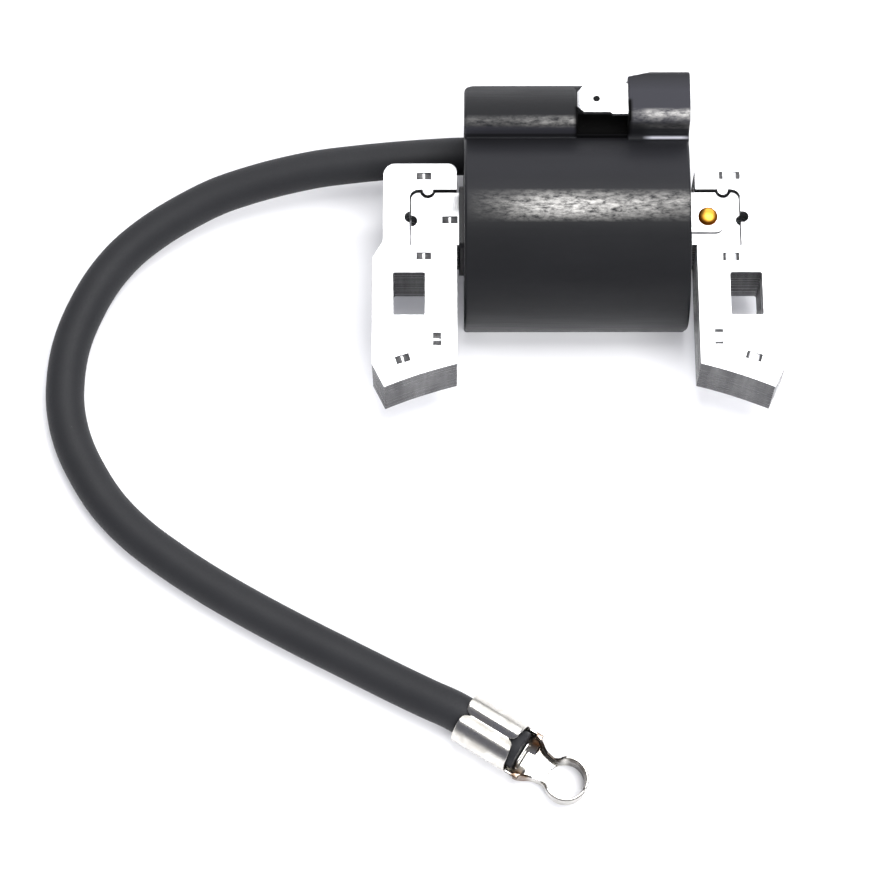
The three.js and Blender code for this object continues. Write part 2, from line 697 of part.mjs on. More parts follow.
place("left_leg", makeLeg(-1), "steel");
place("right_leg", makeLeg(1), "steel");
place("core_bar", makeBar(), "steel");
place("coil_housing", makeHousing(), "plastic");
place("potting_fill", makePotting(), "potting");
place("primary_bobbin", makePrimaryBobbin(), "nylon");
place("primary_winding", makePrimaryWinding(), "copper");
const sleeveHalf = secondary.halfLength - 0.2;
place("insulation_sleeve", ringAlongX(sleeveInner, sleeveOuter, -sleeveHalf, sleeveHalf, 32), "film");
place("secondary_bobbin", makeSecondaryBobbin(), "nylon");
for (let i = 0; i < secondary.sections; i++) {
  place("secondary_winding_" + (i + 1), makeSecondarySection(i), "copper");
}
place("circuit_board",
  box([board.left, board.front, board.low], [board.right - 1.6, board.back, board.high]), "board");
place("power_transistor", makePowerTransistor(), "component");
place("trigger_transistor", makeTriggerTransistor(), "component");
place("bias_resistor", axialPart(-1.5, 6.6, 4.2, 1.05), "resistor");
place("trigger_resistor", axialPart(-1.5, 9.9, 4.2, 1.05), "resistor");
place("suppressor_diode", axialPart(-1.5, 13, 3.6, 1.1), "component");
place("stop_terminal", makeStopTerminal(), "tin");
place("ground_strap", makeGroundStrap(), "tin");
place("ground_rivet", makeRivet(), "brass");
place("ht_contact", makeContact(), "brass");
place("ht_link_wire", wireAlong(
  [[-9.3, leadExitY, leadExitZ], [-8.3, 15.9, 10.6], [-9, 14.8, 9.6], [-10.8, 13.6, 9.2], [-11.6, 12.2, 9.6]],
  wireRadius, 6, 12), "copper");
place("primary_feed_wire", wireAlong(
  [
    [12.2, 17.9, 6.2], [13.6, 16.2, 7], [15.8, 14.4, 8.6],
    [16.9, 12.6, 10], [17.05, 9.8, 11.5], [17.05, 8.6, 12.4],
  ],
  wireRadius, 6, 14), "copper");
place("primary_ground_wire", wireAlong(
  [
    [13.2, 17.9, 21.8], [14.4, 16.2, 21], [16, 14.2, 19.8],
    [16.9, 12.4, 18.6], [17.05, 9.6, 17.4], [17.05, 8.7, 16.6],
  ],
  wireRadius, 6, 14), "copper");
place("ht_lead", makeLead(), "rubber");

const clipGroup = new THREE.Group();
clipGroup.position.set(clip.x, clip.y, clip.radius);
clipGroup.rotation.z = clip.turn;
coil.add(clipGroup);
place("plug_terminal", makePlugTerminal(), "nickel", clipGroup);

export default coil;
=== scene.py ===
import math

import bmesh
import bpy
from mathutils import Matrix, Vector, noise


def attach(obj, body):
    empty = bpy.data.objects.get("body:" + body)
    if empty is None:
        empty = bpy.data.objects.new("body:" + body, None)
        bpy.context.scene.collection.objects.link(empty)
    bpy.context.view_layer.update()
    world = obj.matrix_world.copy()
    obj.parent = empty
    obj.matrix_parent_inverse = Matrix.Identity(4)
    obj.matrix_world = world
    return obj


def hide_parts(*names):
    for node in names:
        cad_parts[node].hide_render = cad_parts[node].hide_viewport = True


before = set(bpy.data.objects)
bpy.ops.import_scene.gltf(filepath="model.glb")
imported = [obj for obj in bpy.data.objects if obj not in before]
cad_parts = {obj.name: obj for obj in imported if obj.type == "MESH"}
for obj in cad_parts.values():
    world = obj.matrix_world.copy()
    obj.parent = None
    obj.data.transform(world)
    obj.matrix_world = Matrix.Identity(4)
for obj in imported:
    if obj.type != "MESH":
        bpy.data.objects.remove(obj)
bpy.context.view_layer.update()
scene = bpy.context.scene
mm = 0.001

camera = {
    "place": (-0.02367, -0.21185, 0.481),
    "tilt": 20.0,       # degrees away from looking straight down
    "roll": -0.07,
    "lens": 112.75,
}


def makeCamera():
    data = bpy.data.cameras.new("camera")
    data.lens = camera["lens"]
    data.sensor_width = 36
    data.clip_start = 0.01
    data.clip_end = 10
    eye = newObject("camera", data)
    eye.location = camera["place"]
    eye.rotation_euler = (math.radians(camera["tilt"]), 0, math.radians(camera["roll"]))
    scene.camera = eye
    print("camera made")


# every piece is drawn in millimetres and brought to metres by finishPiece
def newObject(name, mesh):
    made = bpy.data.objects.new(name, mesh)
    scene.collection.objects.link(made)
    return made


def fromBmesh(name, bm, recalc=True):
    if recalc:
        bmesh.ops.recalc_face_normals(bm, faces=bm.faces)
    mesh = bpy.data.meshes.new(name)
    bm.to_mesh(mesh)
    bm.free()
    return newObject(name, mesh)


def applyModifiers(piece):
    graph = bpy.context.evaluated_depsgraph_get()
    mesh = bpy.data.meshes.new_from_object(piece.evaluated_get(graph), depsgraph=graph)
    piece.modifiers.clear()
    old = piece.data
    piece.data = mesh
    bpy.data.meshes.remove(old)
    return piece


def combine(piece, others, operation="DIFFERENCE"):
    for other in others:
        cutter = piece.modifiers.new(operation, "BOOLEAN")
        cutter.operation = operation
        cutter.object = other
        cutter.solver = "EXACT"
    applyModifiers(piece)
    for other in others:
        bpy.data.objects.remove(other)
    return piece


def bevelEdges(piece, width, segments=2, angle=35):
    bevel = piece.modifiers.new("bevel", "BEVEL")
    bevel.width = width
    bevel.segments = segments
    bevel.limit_method = "ANGLE"
    bevel.angle_limit = math.radians(angle)
    bevel.miter_outer = "MITER_ARC"
    return applyModifiers(piece)


def setMaterials(mesh, *materials):
    mesh.materials.clear()
    for material in materials:
        mesh.materials.append(material)


def finishPiece(piece, nodes=(), finish=None, sharp=35):
    piece.data.transform(Matrix.Scale(mm, 4))
    piece.data.shade_smooth()
    piece.data.set_sharp_from_angle(angle=math.radians(sharp))
    weighted = piece.modifiers.new("weighted", "WEIGHTED_NORMAL")
    weighted.keep_sharp = True
    applyModifiers(piece)
    if finish:
        setMaterials(piece.data, finish)
    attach(piece, "root")
    if nodes:
        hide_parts(*nodes)
    return piece


def arc(cx, cy, radius, start, end, steps):
    turns = [math.radians(start + (end - start) * i / steps) for i in range(steps + 1)]
    return [(cx + radius * math.cos(t), cy + radius * math.sin(t)) for t in turns]


def bend(a, b, c, steps):
    # a quadratic curve from a to c, pulled towards b
    line = []
    for i in range(1, steps + 1):
        t = i / steps
        line.append(tuple((1 - t) ** 2 * p + 2 * t * (1 - t) * q + t * t * r for p, q, r in zip(a, b, c)))
    return line


def roundedBox(cx, cy, halfX, halfY, radius, steps=6):
    corners = ((1, -1, -90), (1, 1, 0), (-1, 1, 90), (-1, -1, 180))
    points = []
    for sx, sy, start in corners:
        x, y = cx + sx * (halfX - radius), cy + sy * (halfY - radius)
        points += arc(x, y, radius, start, start + 90, steps)
    return points


def inset(outline, amount):
    # moves each corner of a closed outline inwards along its mitre
    area = sum(a[0] * b[1] - b[0] * a[1] for a, b in zip(outline, outline[1:] + outline[:1]))
    side = 1 if area > 0 else -1
    moved = []
    for i, point in enumerate(outline):
        before = Vector(point) - Vector(outline[i - 1])
        after = Vector(outline[(i + 1) % len(outline)]) - Vector(point)
        normals = [Vector((-d.y, d.x)).normalized() * side for d in (before, after)]
        middle = (normals[0] + normals[1]).normalized()
        moved.append(Vector(point) + middle * amount / max(0.4, middle.dot(normals[0])))
    return moved


def prism(name, outline, start, end, axis="x", endRound=0.0, steps=4):
    # a closed outline drawn along an axis, with its end edges rounded
    place = {
        "x": lambda p, s: (s, p[0], p[1]),
        "y": lambda p, s: (p[0], s, p[1]),
        "z": lambda p, s: (p[0], p[1], s),
    }[axis]
    stations = [(start, 0.0), (end, 0.0)]
    if endRound:
        turns = [math.pi / 2 * i / steps for i in range(steps + 1)]
        near = [(start + endRound * (1 - math.cos(t)), endRound * (1 - math.sin(t))) for t in turns]
        stations = near + [(start + end - s, d) for s, d in reversed(near)]
    bm = bmesh.new()
    rings = []
    for along, depth in stations:
        line = inset(outline, depth) if depth > 1e-6 else outline
        rings.append([bm.verts.new(place(point, along)) for point in line])
    for low, high in zip(rings, rings[1:]):
        for i in range(len(low)):
            j = (i + 1) % len(low)
            bm.faces.new((low[i], low[j], high[j], high[i]))
    bm.faces.new(rings[0])
    bm.faces.new(list(reversed(rings[-1])))
    return fromBmesh(name, bm)


def spun(name, profile, segments=64):
    # a profile of (radius, height) turned round Z; a radius of 0 closes it on the axis
    bm = bmesh.new()
    rings = []
    for radius, height in profile:
        count = segments if radius > 0 else 1
        turns = [2 * math.pi * i / segments for i in range(count)]
        rings.append([bm.verts.new((radius * math.cos(t), radius * math.sin(t), height)) for t in turns])
    for low, high in zip(rings, rings[1:]):
        for i in range(segments):
            j = (i + 1) % segments
            corners = (low[i % len(low)], low[j % len(low)], high[j % len(high)], high[i % len(high)])
            unique = list(dict.fromkeys(corners))
            if len(unique) > 2:
                bm.faces.new(unique)
    return fromBmesh(name, bm)


def startMaterial(name):
    made = bpy.data.materials.new(name)
    made.use_nodes = True
    tree = made.node_tree
    return made, tree, tree.nodes["Principled BSDF"]


def finishMaterial(shader, color, rough, normal, metallic=0.0, specular=0.5):
    tree = color.id_data
    tree.links.new(color, shader.inputs["Base Color"])
    tree.links.new(rough, shader.inputs["Roughness"])
    tree.links.new(normal, shader.inputs["Normal"])
    shader.inputs["Metallic"].default_value = metallic
    shader.inputs["Specular IOR Level"].default_value = specular


def addNode(tree, kind, inputs=None, **settings):
    node = tree.nodes.new(kind)
    for key, value in settings.items():
        setattr(node, key, value)
    for key, value in (inputs or {}).items():
        if isinstance(value, bpy.types.NodeSocket):
            tree.links.new(value, node.inputs[key])
        else:
            node.inputs[key].default_value = value
    return node


def objectCoords(tree, scale=(1, 1, 1), turn=0.0):
    coords = addNode(tree, "ShaderNodeTexCoord").outputs["Object"]
    mapping = addNode(tree, "ShaderNodeMapping", {"Vector": coords, "Scale": scale, "Rotation": (0, 0, turn)})
    return mapping.outputs["Vector"]


def noiseOf(vector, scale, detail=4.0, rough=0.55, distortion=0.0):
    node = addNode(vector.id_data, "ShaderNodeTexNoise", {
        "Vector": vector, "Scale": scale, "Detail": detail, "Roughness": rough, "Distortion": distortion})
    return node.outputs[0]


def rangeOf(value, fromLow, fromHigh, toLow=0.0, toHigh=1.0):
    node = addNode(value.id_data, "ShaderNodeMapRange", {
        "Value": value, "From Min": fromLow, "From Max": fromHigh, "To Min": toLow, "To Max": toHigh})
    return node.outputs["Result"]


def mathOf(operation, a, b=0.0):
    return addNode(a.id_data, "ShaderNodeMath", {0: a, 1: b}, operation=operation).outputs[0]


def productOf(first, *others):
    for other in others:
        first = mathOf("MULTIPLY", first, other)
    return first


def largestOf(first, *others):
    for other in others:
        first = mathOf("MAXIMUM", first, other)
    return first


def mixColor(factor, a, b):
    tree = factor.id_data
    node = addNode(tree, "ShaderNodeMix", data_type="RGBA")
    for index, value in ((0, factor), (6, a), (7, b)):
        if isinstance(value, bpy.types.NodeSocket):
            tree.links.new(value, node.inputs[index])
        else:
            node.inputs[index].default_value = value if index == 0 else (*value, 1)
    return node.outputs[2]


def bumpOf(height, strength, distance, under=None):
    inputs = {"Height": height, "Strength": strength, "Distance": distance}
    if under is not None:
        inputs["Normal"] = under
    return addNode(height.id_data, "ShaderNodeBump", inputs).outputs["Normal"]


def bandOf(value, low, high, soft):
    # 1 between low and high, falling to 0 over a soft edge
    rising = rangeOf(value, low - soft, low + soft)
    falling = rangeOf(value, high - soft, high + soft, 1.0, 0.0)
    return productOf(rising, falling)


def separate(vector):
    return addNode(vector.id_data, "ShaderNodeSeparateXYZ", {0: vector}).outputs


def awayFrom(vector, point):
    node = addNode(vector.id_data, "ShaderNodeVectorMath", {0: vector, 1: point}, operation="SUBTRACT")
    return node.outputs[0]


def distanceFromAxis(x, y):
    flat = addNode(x.id_data, "ShaderNodeCombineXYZ", {0: x, 1: y}).outputs[0]
    return addNode(x.id_data, "ShaderNodeVectorMath", {0: flat}, operation="LENGTH").outputs["Value"]


# each painted highlight, painted shade and wear mark lies in a band of the housing, in metres: from, to,
# softness of its edges
plastic = {
    "dark": (0.0092, 0.0094, 0.0104),
    "light": (0.0135, 0.0138, 0.0153),
    "sheenGrey": (0.034, 0.034, 0.041),
    "scuffedHighlight": (0.92, 0.9, 0.86),
    "glint": (0.5, 0.5, 0.56),
    "underTabShade": (0.001, 0.001, 0.001),
    "crownY": (-0.0041, -0.0018, 0.0019),
    "shoulderY": (0.0127, 0.0141, 0.0005),
    "underTabX": (-0.0006, 0.0095, 0.0003),
    "underTabY": (0.0122, 0.0165, 0.0003),
    "footX": (0.0125, 0.0195, 0.0009),
    "footY": (0.0116, 0.012, 0.00015),
    "barrelTopY": (0.0, 0.011, 0.004),
    "ridgeWallY": (0.0119, 0.0126, 0.0002),
    "specular": 0.12,
}


def makeHousingPlastic():
    made, tree, shader = startMaterial("satinHousing")
    coords = objectCoords(tree)
    x, y, z = separate(coords)
    fine = noiseOf(coords, 2600, 6, 0.62)
    speck = noiseOf(objectCoords(tree, (0.4, 1, 1)), 1500, 8, 0.72, 0.2)
    cloud = noiseOf(objectCoords(tree, (0.5, 1, 1)), 150, 4, 0.5)
    drawn = noiseOf(objectCoords(tree, (0.06, 1, 1)), 1100, 6, 0.6)
    # painted highlight along the crown of the barrel and both shoulders, speckled where the plastic is
    # scuffed
    crown = productOf(
        bandOf(y, *plastic["crownY"]), rangeOf(x, -0.02, -0.006),
        rangeOf(x, 0.006, 0.019, 1.0, 0.6), rangeOf(z, 0.0304, 0.0309))
    alongEdge = largestOf(rangeOf(x, 0.009, 0.014), rangeOf(x, -0.019, -0.004, 0.08, 0.26))
    shoulder = productOf(bandOf(y, *plastic["shoulderY"]), rangeOf(z, 0.0309, 0.0314), alongEdge)
    patchy = productOf(largestOf(crown, shoulder), rangeOf(cloud, 0.34, 0.64, 0.35, 1.0))
    scuffHighlight = productOf(patchy, rangeOf(speck, 0.36, 0.64))
    # painted shade in the deep corner under the tab, which is also made matt
    under = productOf(bandOf(x, *plastic["underTabX"]), bandOf(y, *plastic["underTabY"]))
    # painted glint along the fillet at the foot of the terminal block
    foot = productOf(
        bandOf(y, *plastic["footY"]), bandOf(x, *plastic["footX"]), rangeOf(z, 0.0281, 0.0284))
    # painted sheen: the top of the barrel, the ridge's wall and the top of the terminal block are lightened
    # to a grey
    barrelTop = productOf(bandOf(y, *plastic["barrelTopY"]), rangeOf(z, 0.0262, 0.0274, 0.0, 0.3))
    ridgeWall = productOf(
        bandOf(y, *plastic["ridgeWallY"]), rangeOf(x, -0.0004, 0.0, 1.0, 0.0), rangeOf(z, 0.0288, 0.0294))
    paintedSheen = largestOf(barrelTop, rangeOf(z, 0.0325, 0.034), ridgeWall)
    base = mixColor(cloud, plastic["dark"], plastic["light"])
    base = mixColor(paintedSheen, base, plastic["sheenGrey"])
    base = mixColor(scuffHighlight, base, plastic["scuffedHighlight"])
    base = mixColor(foot, base, plastic["glint"])
    base = mixColor(under, base, plastic["underTabShade"])
    rough = largestOf(rangeOf(drawn, 0.3, 0.75, 0.36, 0.5), under)
    grain = bumpOf(fine, 0.22, 0.00006)
    lines = bumpOf(drawn, 0.12, 0.00008, grain)
    shadeAndScuff = bumpOf(productOf(patchy, speck), 0.6, 0.00018, lines)
    finishMaterial(shader, base, rough, shadeAndScuff, 0.0, plastic["specular"])
    return made


def makeEpoxy():
    made, tree, shader = startMaterial("pottingEpoxy")
    coords = objectCoords(tree)
    flow = noiseOf(coords, 130, 3, 0.5, 0.8)
    dust = noiseOf(coords, 3200, 4, 0.6)
    base = mixColor(flow, (0.005, 0.005, 0.006), (0.012, 0.011, 0.01))
    rough = rangeOf(dust, 0.45, 0.75, 0.14, 0.42)
    finishMaterial(shader, base, rough, bumpOf(flow, 0.25, 0.0004))
    return made


steel = {
    "bright": (0.86, 0.865, 0.88),
    "hazy": (0.74, 0.745, 0.76),
    "shadeAndScuff": (0.13, 0.13, 0.13),
    "barShadeX": (-0.0228, -0.02, 0.0012),      # from, to, softness
    "barShadeY": (0.0012, 0.0049, 0.0006),
    "shearedDark": (0.06, 0.06, 0.062),
    "shearedLight": (0.16, 0.158, 0.16),
    "shearedDull": (0.075, 0.075, 0.078),
    "rust": (0.06, 0.04, 0.025),
}


def makeSheetFace():
    # the rolled face of the electrical steel, bright with a faint rolling grain
    made, tree, shader = startMaterial("sheetFace")
    grain = noiseOf(objectCoords(tree, (1, 0.12, 1)), 2600, 5, 0.6)
    haze = noiseOf(objectCoords(tree), 140, 4, 0.55)
    scratch = noiseOf(objectCoords(tree, (0.1, 1, 1), 0.7), 4200, 2, 0.5)
    base = mixColor(rangeOf(haze, 0.35, 0.7), steel["bright"], steel["hazy"])
    # painted shade on the crossbar beside the barrel, broken up by the grain
    x, y, z = separate(objectCoords(tree))
    shadeAndScuff = productOf(
        bandOf(x, *steel["barShadeX"]), bandOf(y, *steel["barShadeY"]), rangeOf(grain, 0.3, 0.65, 0.5, 1.0))
    base = mixColor(shadeAndScuff, base, steel["shadeAndScuff"])
    bump = bumpOf(scratch, 0.06, 0.00002, bumpOf(grain, 0.12, 0.00003))
    finishMaterial(shader, base, rangeOf(haze, 0.3, 0.7, 0.3, 0.46), bump, 1.0)
    return made


def makeSheetEdge():
    # the sheared edge of the sheets, streaked across the stack, with a few specks of rust
    made, tree, shader = startMaterial("sheetEdge")
    streak = noiseOf(objectCoords(tree, (1, 1, 0.05)), 1500, 5, 0.75)
    broad = noiseOf(objectCoords(tree, (1, 1, 0.12)), 420, 4, 0.6)
    rust = rangeOf(noiseOf(objectCoords(tree), 900, 6, 0.7), 0.66, 0.74)
    base = mixColor(rangeOf(streak, 0.32, 0.68), steel["shearedDark"], steel["shearedLight"])
    base = mixColor(rangeOf(broad, 0.4, 0.66, 0.0, 0.75), base, steel["shearedDull"])
    base = mixColor(rust, base, steel["rust"])
    rough = rangeOf(broad, 0.3, 0.7, 0.42, 0.62)
    finishMaterial(shader, base, rough, bumpOf(streak, 0.5, 0.00008), 0.6)
    return made


def makePlate(name, light, dark, rough, stainAndShade=None):
    # bright metal with fine scratches and a haze; the function passed in adds its own colours over the base,
    # stains as well as painted shade
    made, tree, shader = startMaterial(name)
    haze = noiseOf(objectCoords(tree), 330, 5, 0.6, 0.4)
    fine = noiseOf(objectCoords(tree, (1, 0.2, 1), 0.56), 3000, 4, 0.6)
    base = mixColor(rangeOf(haze, 0.35, 0.7), light, dark)
    if stainAndShade:
        base = stainAndShade(tree, base, haze)
    shine = rangeOf(haze, 0.3, 0.72, rough * 0.75, rough * 1.5)
    finishMaterial(shader, base, shine, bumpOf(fine, 0.1, 0.00003), 1.0)
    return made


rubber = {
    "dark": (0.0165, 0.0168, 0.0187),
    "light": (0.024, 0.0244, 0.0265),
    "lint": (0.09, 0.09, 0.095),
    "specular": 0.2,
}


def makeRubber():
    made, tree, shader = startMaterial("leadRubber")
    coords = objectCoords(tree)
    grain = noiseOf(coords, 3400, 5, 0.65)
    cloud = noiseOf(coords, 120, 4, 0.55)
    lint = rangeOf(noiseOf(coords, 1700, 5, 0.7, 1.2), 0.7, 0.76, 0.0, 0.5)
    base = mixColor(cloud, rubber["dark"], rubber["light"])
    base = mixColor(lint, base, rubber["lint"])
    rough = rangeOf(grain, 0.3, 0.7, 0.5, 0.68)
    finishMaterial(shader, base, rough, bumpOf(grain, 0.3, 0.00008), 0.0, rubber["specular"])
    return made


def makePlain(name, light, dark, rough, scale, metal=0.0, bump=0.15, stretch=(1, 1, 1)):
    # a moulded, lacquered or wound inner piece
    made, tree, shader = startMaterial(name)
    coords = objectCoords(tree, stretch)
    cloud = noiseOf(coords, scale, 5, 0.6)
    fine = noiseOf(coords, scale * 9, 3, 0.6)
    base = mixColor(rangeOf(cloud, 0.3, 0.7), light, dark)
    shine = rangeOf(fine, 0.3, 0.7, rough * 0.8, rough * 1.2)
    finishMaterial(shader, base, shine, bumpOf(fine, bump, 0.00005), metal)
    return made


lead = {
    "diameter": 7.0,
    "sides": 40,
    "stepsPerSpan": 8,
    "biteStart": 0.6,    # where the crimp bites, along the terminal
    "biteEnd": 10.0,
    "bite": 0.3,         # how far the crimp squeezes the rubber in
    "route": [
        (-14, 16.5, 11.2), (-18, 16.5, 11.2), (-22, 16.5, 11.2), (-28, 16.25, 10.9), (-35, 15.9, 10.4),
        (-41.2, 15.5, 9.8), (-47.5, 14.9, 9.2), (-54, 13.75, 8.5), (-60.2, 12.25, 7.8), (-66.3, 10.25, 7.1),
        (-72, 7.45, 6.4), (-77.6, 4, 5.7), (-82.7, -0.2, 5.1), (-86.8, -5.2, 4.5), (-90, -11.1, 4),
        (-92.3, -17.6, 3.7), (-93.2, -24, 3.6), (-93, -30.5, 3.6), (-91.4, -37, 3.6), (-88.5, -43.1, 3.6),
        (-84.5, -49.2, 3.6), (-79.2, -54.7, 3.6), (-73, -59.5, 3.6), (-66, -64.2, 3.6), (-58, -68.95, 3.6),
        (-49.5, -73.6, 3.6), (-41, -78, 3.6), (-33, -82.15, 3.7), (-27, -85.2, 4), (-22.2, -87.54, 4.35),
        (-17.11, -90.72, 4.35), (-10.62, -94.77, 4.35),
    ],
}

# the snap terminal lies along its own x, from the start of the crimp; its z = 0 is the lead's centre
clip = {
    "place": (-20.5, -88.6, 4.35),
    "turn": -32,
    "radius": 4.35,      # middle of the sheet
    "sheet": 0.5,
    "crimpEnd": 10.3,
    "wingRound": 1.5,
    "seamGap": 0.16,
    "seamDip": 1.15,
    "cradleEnd": 13.6,
    "neckHalf": 2.35,
    "neckX": 16.6,
    "floor": -4.1,
    "earTop": -0.4,
    "railTop": -1.9,
    "ringFrom": 17.4,    # where the neck's wall turns into the ring's
    "ringX": 20.8,
    "ringRadius": 3.55,
    "ringTop": 0.0,
    "split": 0.45,
    "rimFlare": {7: 0.16123, 8: 0.3},     # how far the ring's two top levels lean out
    "lipX": 12.0,
    "lipSheet": 0.44,
    "lip": (0, -2.1, 2.2, 1.95, 0.6),      # y, z, half width, half height and corner
    "weld": 0.13,        # grain of the mesh that joins its sheets
    "bright": (0.74, 0.725, 0.69),
    "hazy": (0.5, 0.48, 0.43),
    "straw": (0.15, 0.07, 0.022),
    "farSideShade": (0.045, 0.035, 0.028),
    "groove": (0.1, 0.085, 0.07),
}


def smoothPath(points, steps):
    # a smooth line through every point
    line = []
    ends = [points[0] * 2 - points[1]] + points + [points[-1] * 2 - points[-2]]
    for a, b, c, d in zip(ends, ends[1:], ends[2:], ends[3:]):
        for i in range(steps):
            t = i / steps
            line.append(0.5 * (2 * b + (c - a) * t + (2 * a - 5 * b + 4 * c - d) * t * t
                               + (3 * b - a - 3 * c + d) * t ** 3))
    return line + [points[-1]]


def seamDip(turn):
    # how far the crimp's wings curl in near the seam on top; turn is measured from the top
    return clip["seamDip"] * math.exp(-(turn / math.radians(17)) ** 2)


def makeLead():
    line = smoothPath([Vector(p) for p in lead["route"]], lead["stepsPerSpan"])
    crimpStart = Vector(clip["place"])
    turn = math.radians(clip["turn"])
    crimpWay = Vector((math.cos(turn), math.sin(turn), 0))
    sides = lead["sides"]
    bm = bmesh.new()
    uvs = bm.loops.layers.uv.new("along")
    rings = []
    distances = [0.0]
    for i, point in enumerate(line):
        way = (line[min(i + 1, len(line) - 1)] - line[max(i - 1, 0)]).normalized()
        across = way.cross(Vector((0, 0, 1))).normalized()
        up = across.cross(way)
        along = (point - crimpStart).dot(crimpWay)
        bitten = max(0.0, min(1.0, (along - lead["biteStart"]) / 0.8, (lead["biteEnd"] - along) / 0.8))
        if i:
            distances.append(distances[-1] + (point - line[i - 1]).length)
        ring = []
        for j in range(sides):
            angle = 2 * math.pi * j / sides - math.pi
            reach = lead["diameter"] / 2 - bitten * (lead["bite"] + seamDip(angle) * 0.8)
            reach += 0.012 * noise.noise(point * 0.35 + Vector((angle, 0, 0)))
            ring.append(bm.verts.new(point + reach * (math.cos(angle) * up + math.sin(angle) * across)))
        rings.append(ring)
    for i, (low, high) in enumerate(zip(rings, rings[1:])):
        for j in range(sides):
            k = (j + 1) % sides
            face = bm.faces.new((low[j], low[k], high[k], high[j]))
            places = ((i, j), (i, j + 1), (i + 1, j + 1), (i + 1, j))
            for loop, (a, b) in zip(face.loops, places):
                loop[uvs].uv = (distances[a] * mm, b / sides)
    bm.faces.new(list(reversed(rings[0])))
    bm.faces.new(rings[-1])
    piece = fromBmesh("leadCable", bm)
    bevelEdges(piece, 0.25, 2, 60)
    finishPiece(piece, ["ht_lead"], makeRubber())


def crimpSheet():
    # the crimp and its cradle: one sheet rolled round the lead, its two wings meeting in a seam on top
    radius = clip["radius"]
    across = 64
    stations = [0.0]
    while stations[-1] < clip["cradleEnd"] - 0.01:
        nearCut = min(abs(stations[-1] - s) for s in (0.0, clip["crimpEnd"]))
        stations.append(min(clip["cradleEnd"], stations[-1] + (0.12 if nearCut < 1.6 else 0.4)))
    full = math.pi - clip["seamGap"] / radius
    corner = clip["wingRound"]
    bm = bmesh.new()
    rows = []
    for x in stations:
        if x <= clip["crimpEnd"]:
            fromEnd = max(0.0, corner - min(x, clip["crimpEnd"] - x))
            reach = full - (corner - math.sqrt(max(0.0, corner ** 2 - fromEnd ** 2))) / radius
        else:
            t = min(1.0, (x - clip["crimpEnd"]) / 0.5)
            reach = (full - corner / radius) * (1 - t) + math.radians(84) * t
        row = []
        for j in range(across + 1):
            turn = reach * (2 * j / across - 1)          # from the bottom
            r = radius - (seamDip(math.pi - abs(turn)) if x <= clip["crimpEnd"] + 0.5 else 0.0)
            row.append(bm.verts.new((x, r * math.sin(turn), -r * math.cos(turn))))
        rows.append(row)
    for low, high in zip(rows, rows[1:]):
        for j in range(across):
            bm.faces.new((low[j], low[j + 1], high[j + 1], high[j]))
    return thickened(fromBmesh("crimpSheet", bm, recalc=False))


def thickened(sheet):
    thicken = sheet.modifiers.new("thicken", "SOLIDIFY")
    thicken.thickness = clip["sheet"]
    thicken.offset = 0
    return applyModifiers(sheet)


def sidePath():
    # one side of the neck and the ring, seen from above, from the cradle round to the split at the far end
    ringX, radius, inner = clip["ringX"], clip["ringRadius"], clip["neckHalf"]
    joinTurn = 180 - math.degrees(math.asin(inner / radius))
    splitTurn = math.degrees(math.asin(clip["split"] / 2 / radius))
    line = [(12.4, 3.95), (13.2, 3.8), (14.1, 3.3), (15.1, 2.72), (clip["neckX"], inner), (17.5, 2.3)]
    return line + arc(ringX, 0, radius, joinTurn - 4, splitTurn, 26)


def wallTop(x, onRing):
    if onRing:
        t = min(1.0, max(0.0, (x - clip["ringFrom"]) / 1.6))
        return clip["railTop"] * (1 - t) + clip["ringTop"] * t
    t = min(1.0, max(0.0, (x - 13.4) / 2.2))
    t = t * t * (3 - 2 * t)
    return clip["earTop"] * (1 - t) + clip["railTop"] * t


def neckWall(side):
    dense = smoothPath([Vector((x, side * y, 0)) for x, y in sidePath()], 3)
    levels = 8
    bm = bmesh.new()
    columns = []
    for i, point in enumerate(dense):
        onRing = point.x > clip["ringFrom"]
        rise = 0.0 if onRing else 0.3 * max(0.0, 1 - (point.x - 12.4) / 1.5)
        low = clip["floor"] - clip["sheet"] / 2 + rise
        top = wallTop(point.x, onRing)
        way = (dense[min(i + 1, len(dense) - 1)] - dense[max(i - 1, 0)]).normalized()
        out = Vector((-way.y, way.x, 0)) * side
        column = []
        for level in range(levels + 1):
            lean = clip["rimFlare"].get(level, 0.0) if onRing else 0.0
            height = low + (top - low) * level / levels
            column.append(bm.verts.new((point.x + out.x * lean, point.y + out.y * lean, height)))
        columns.append(column)
    for a, b in zip(columns, columns[1:]):
        for level in range(levels):
            bm.faces.new((a[level], b[level], b[level + 1], a[level + 1]))
    return thickened(fromBmesh("neckWall", bm, recalc=False))


def neckFloor():
    outline = sidePath()[:6] + [(18.6, 2.7)]
    mirrored = [(x, -y) for x, y in reversed(outline)]
    half = clip["sheet"] / 2
    plate = prism("neckFloor", outline + mirrored, clip["floor"] - half, clip["floor"] + half, "z")
    hole = prism("hole", arc(clip["ringX"], 0, clip["ringRadius"] - 0.2, 0, 352.5, 47), -9, 9, "z")
    return combine(plate, [hole])


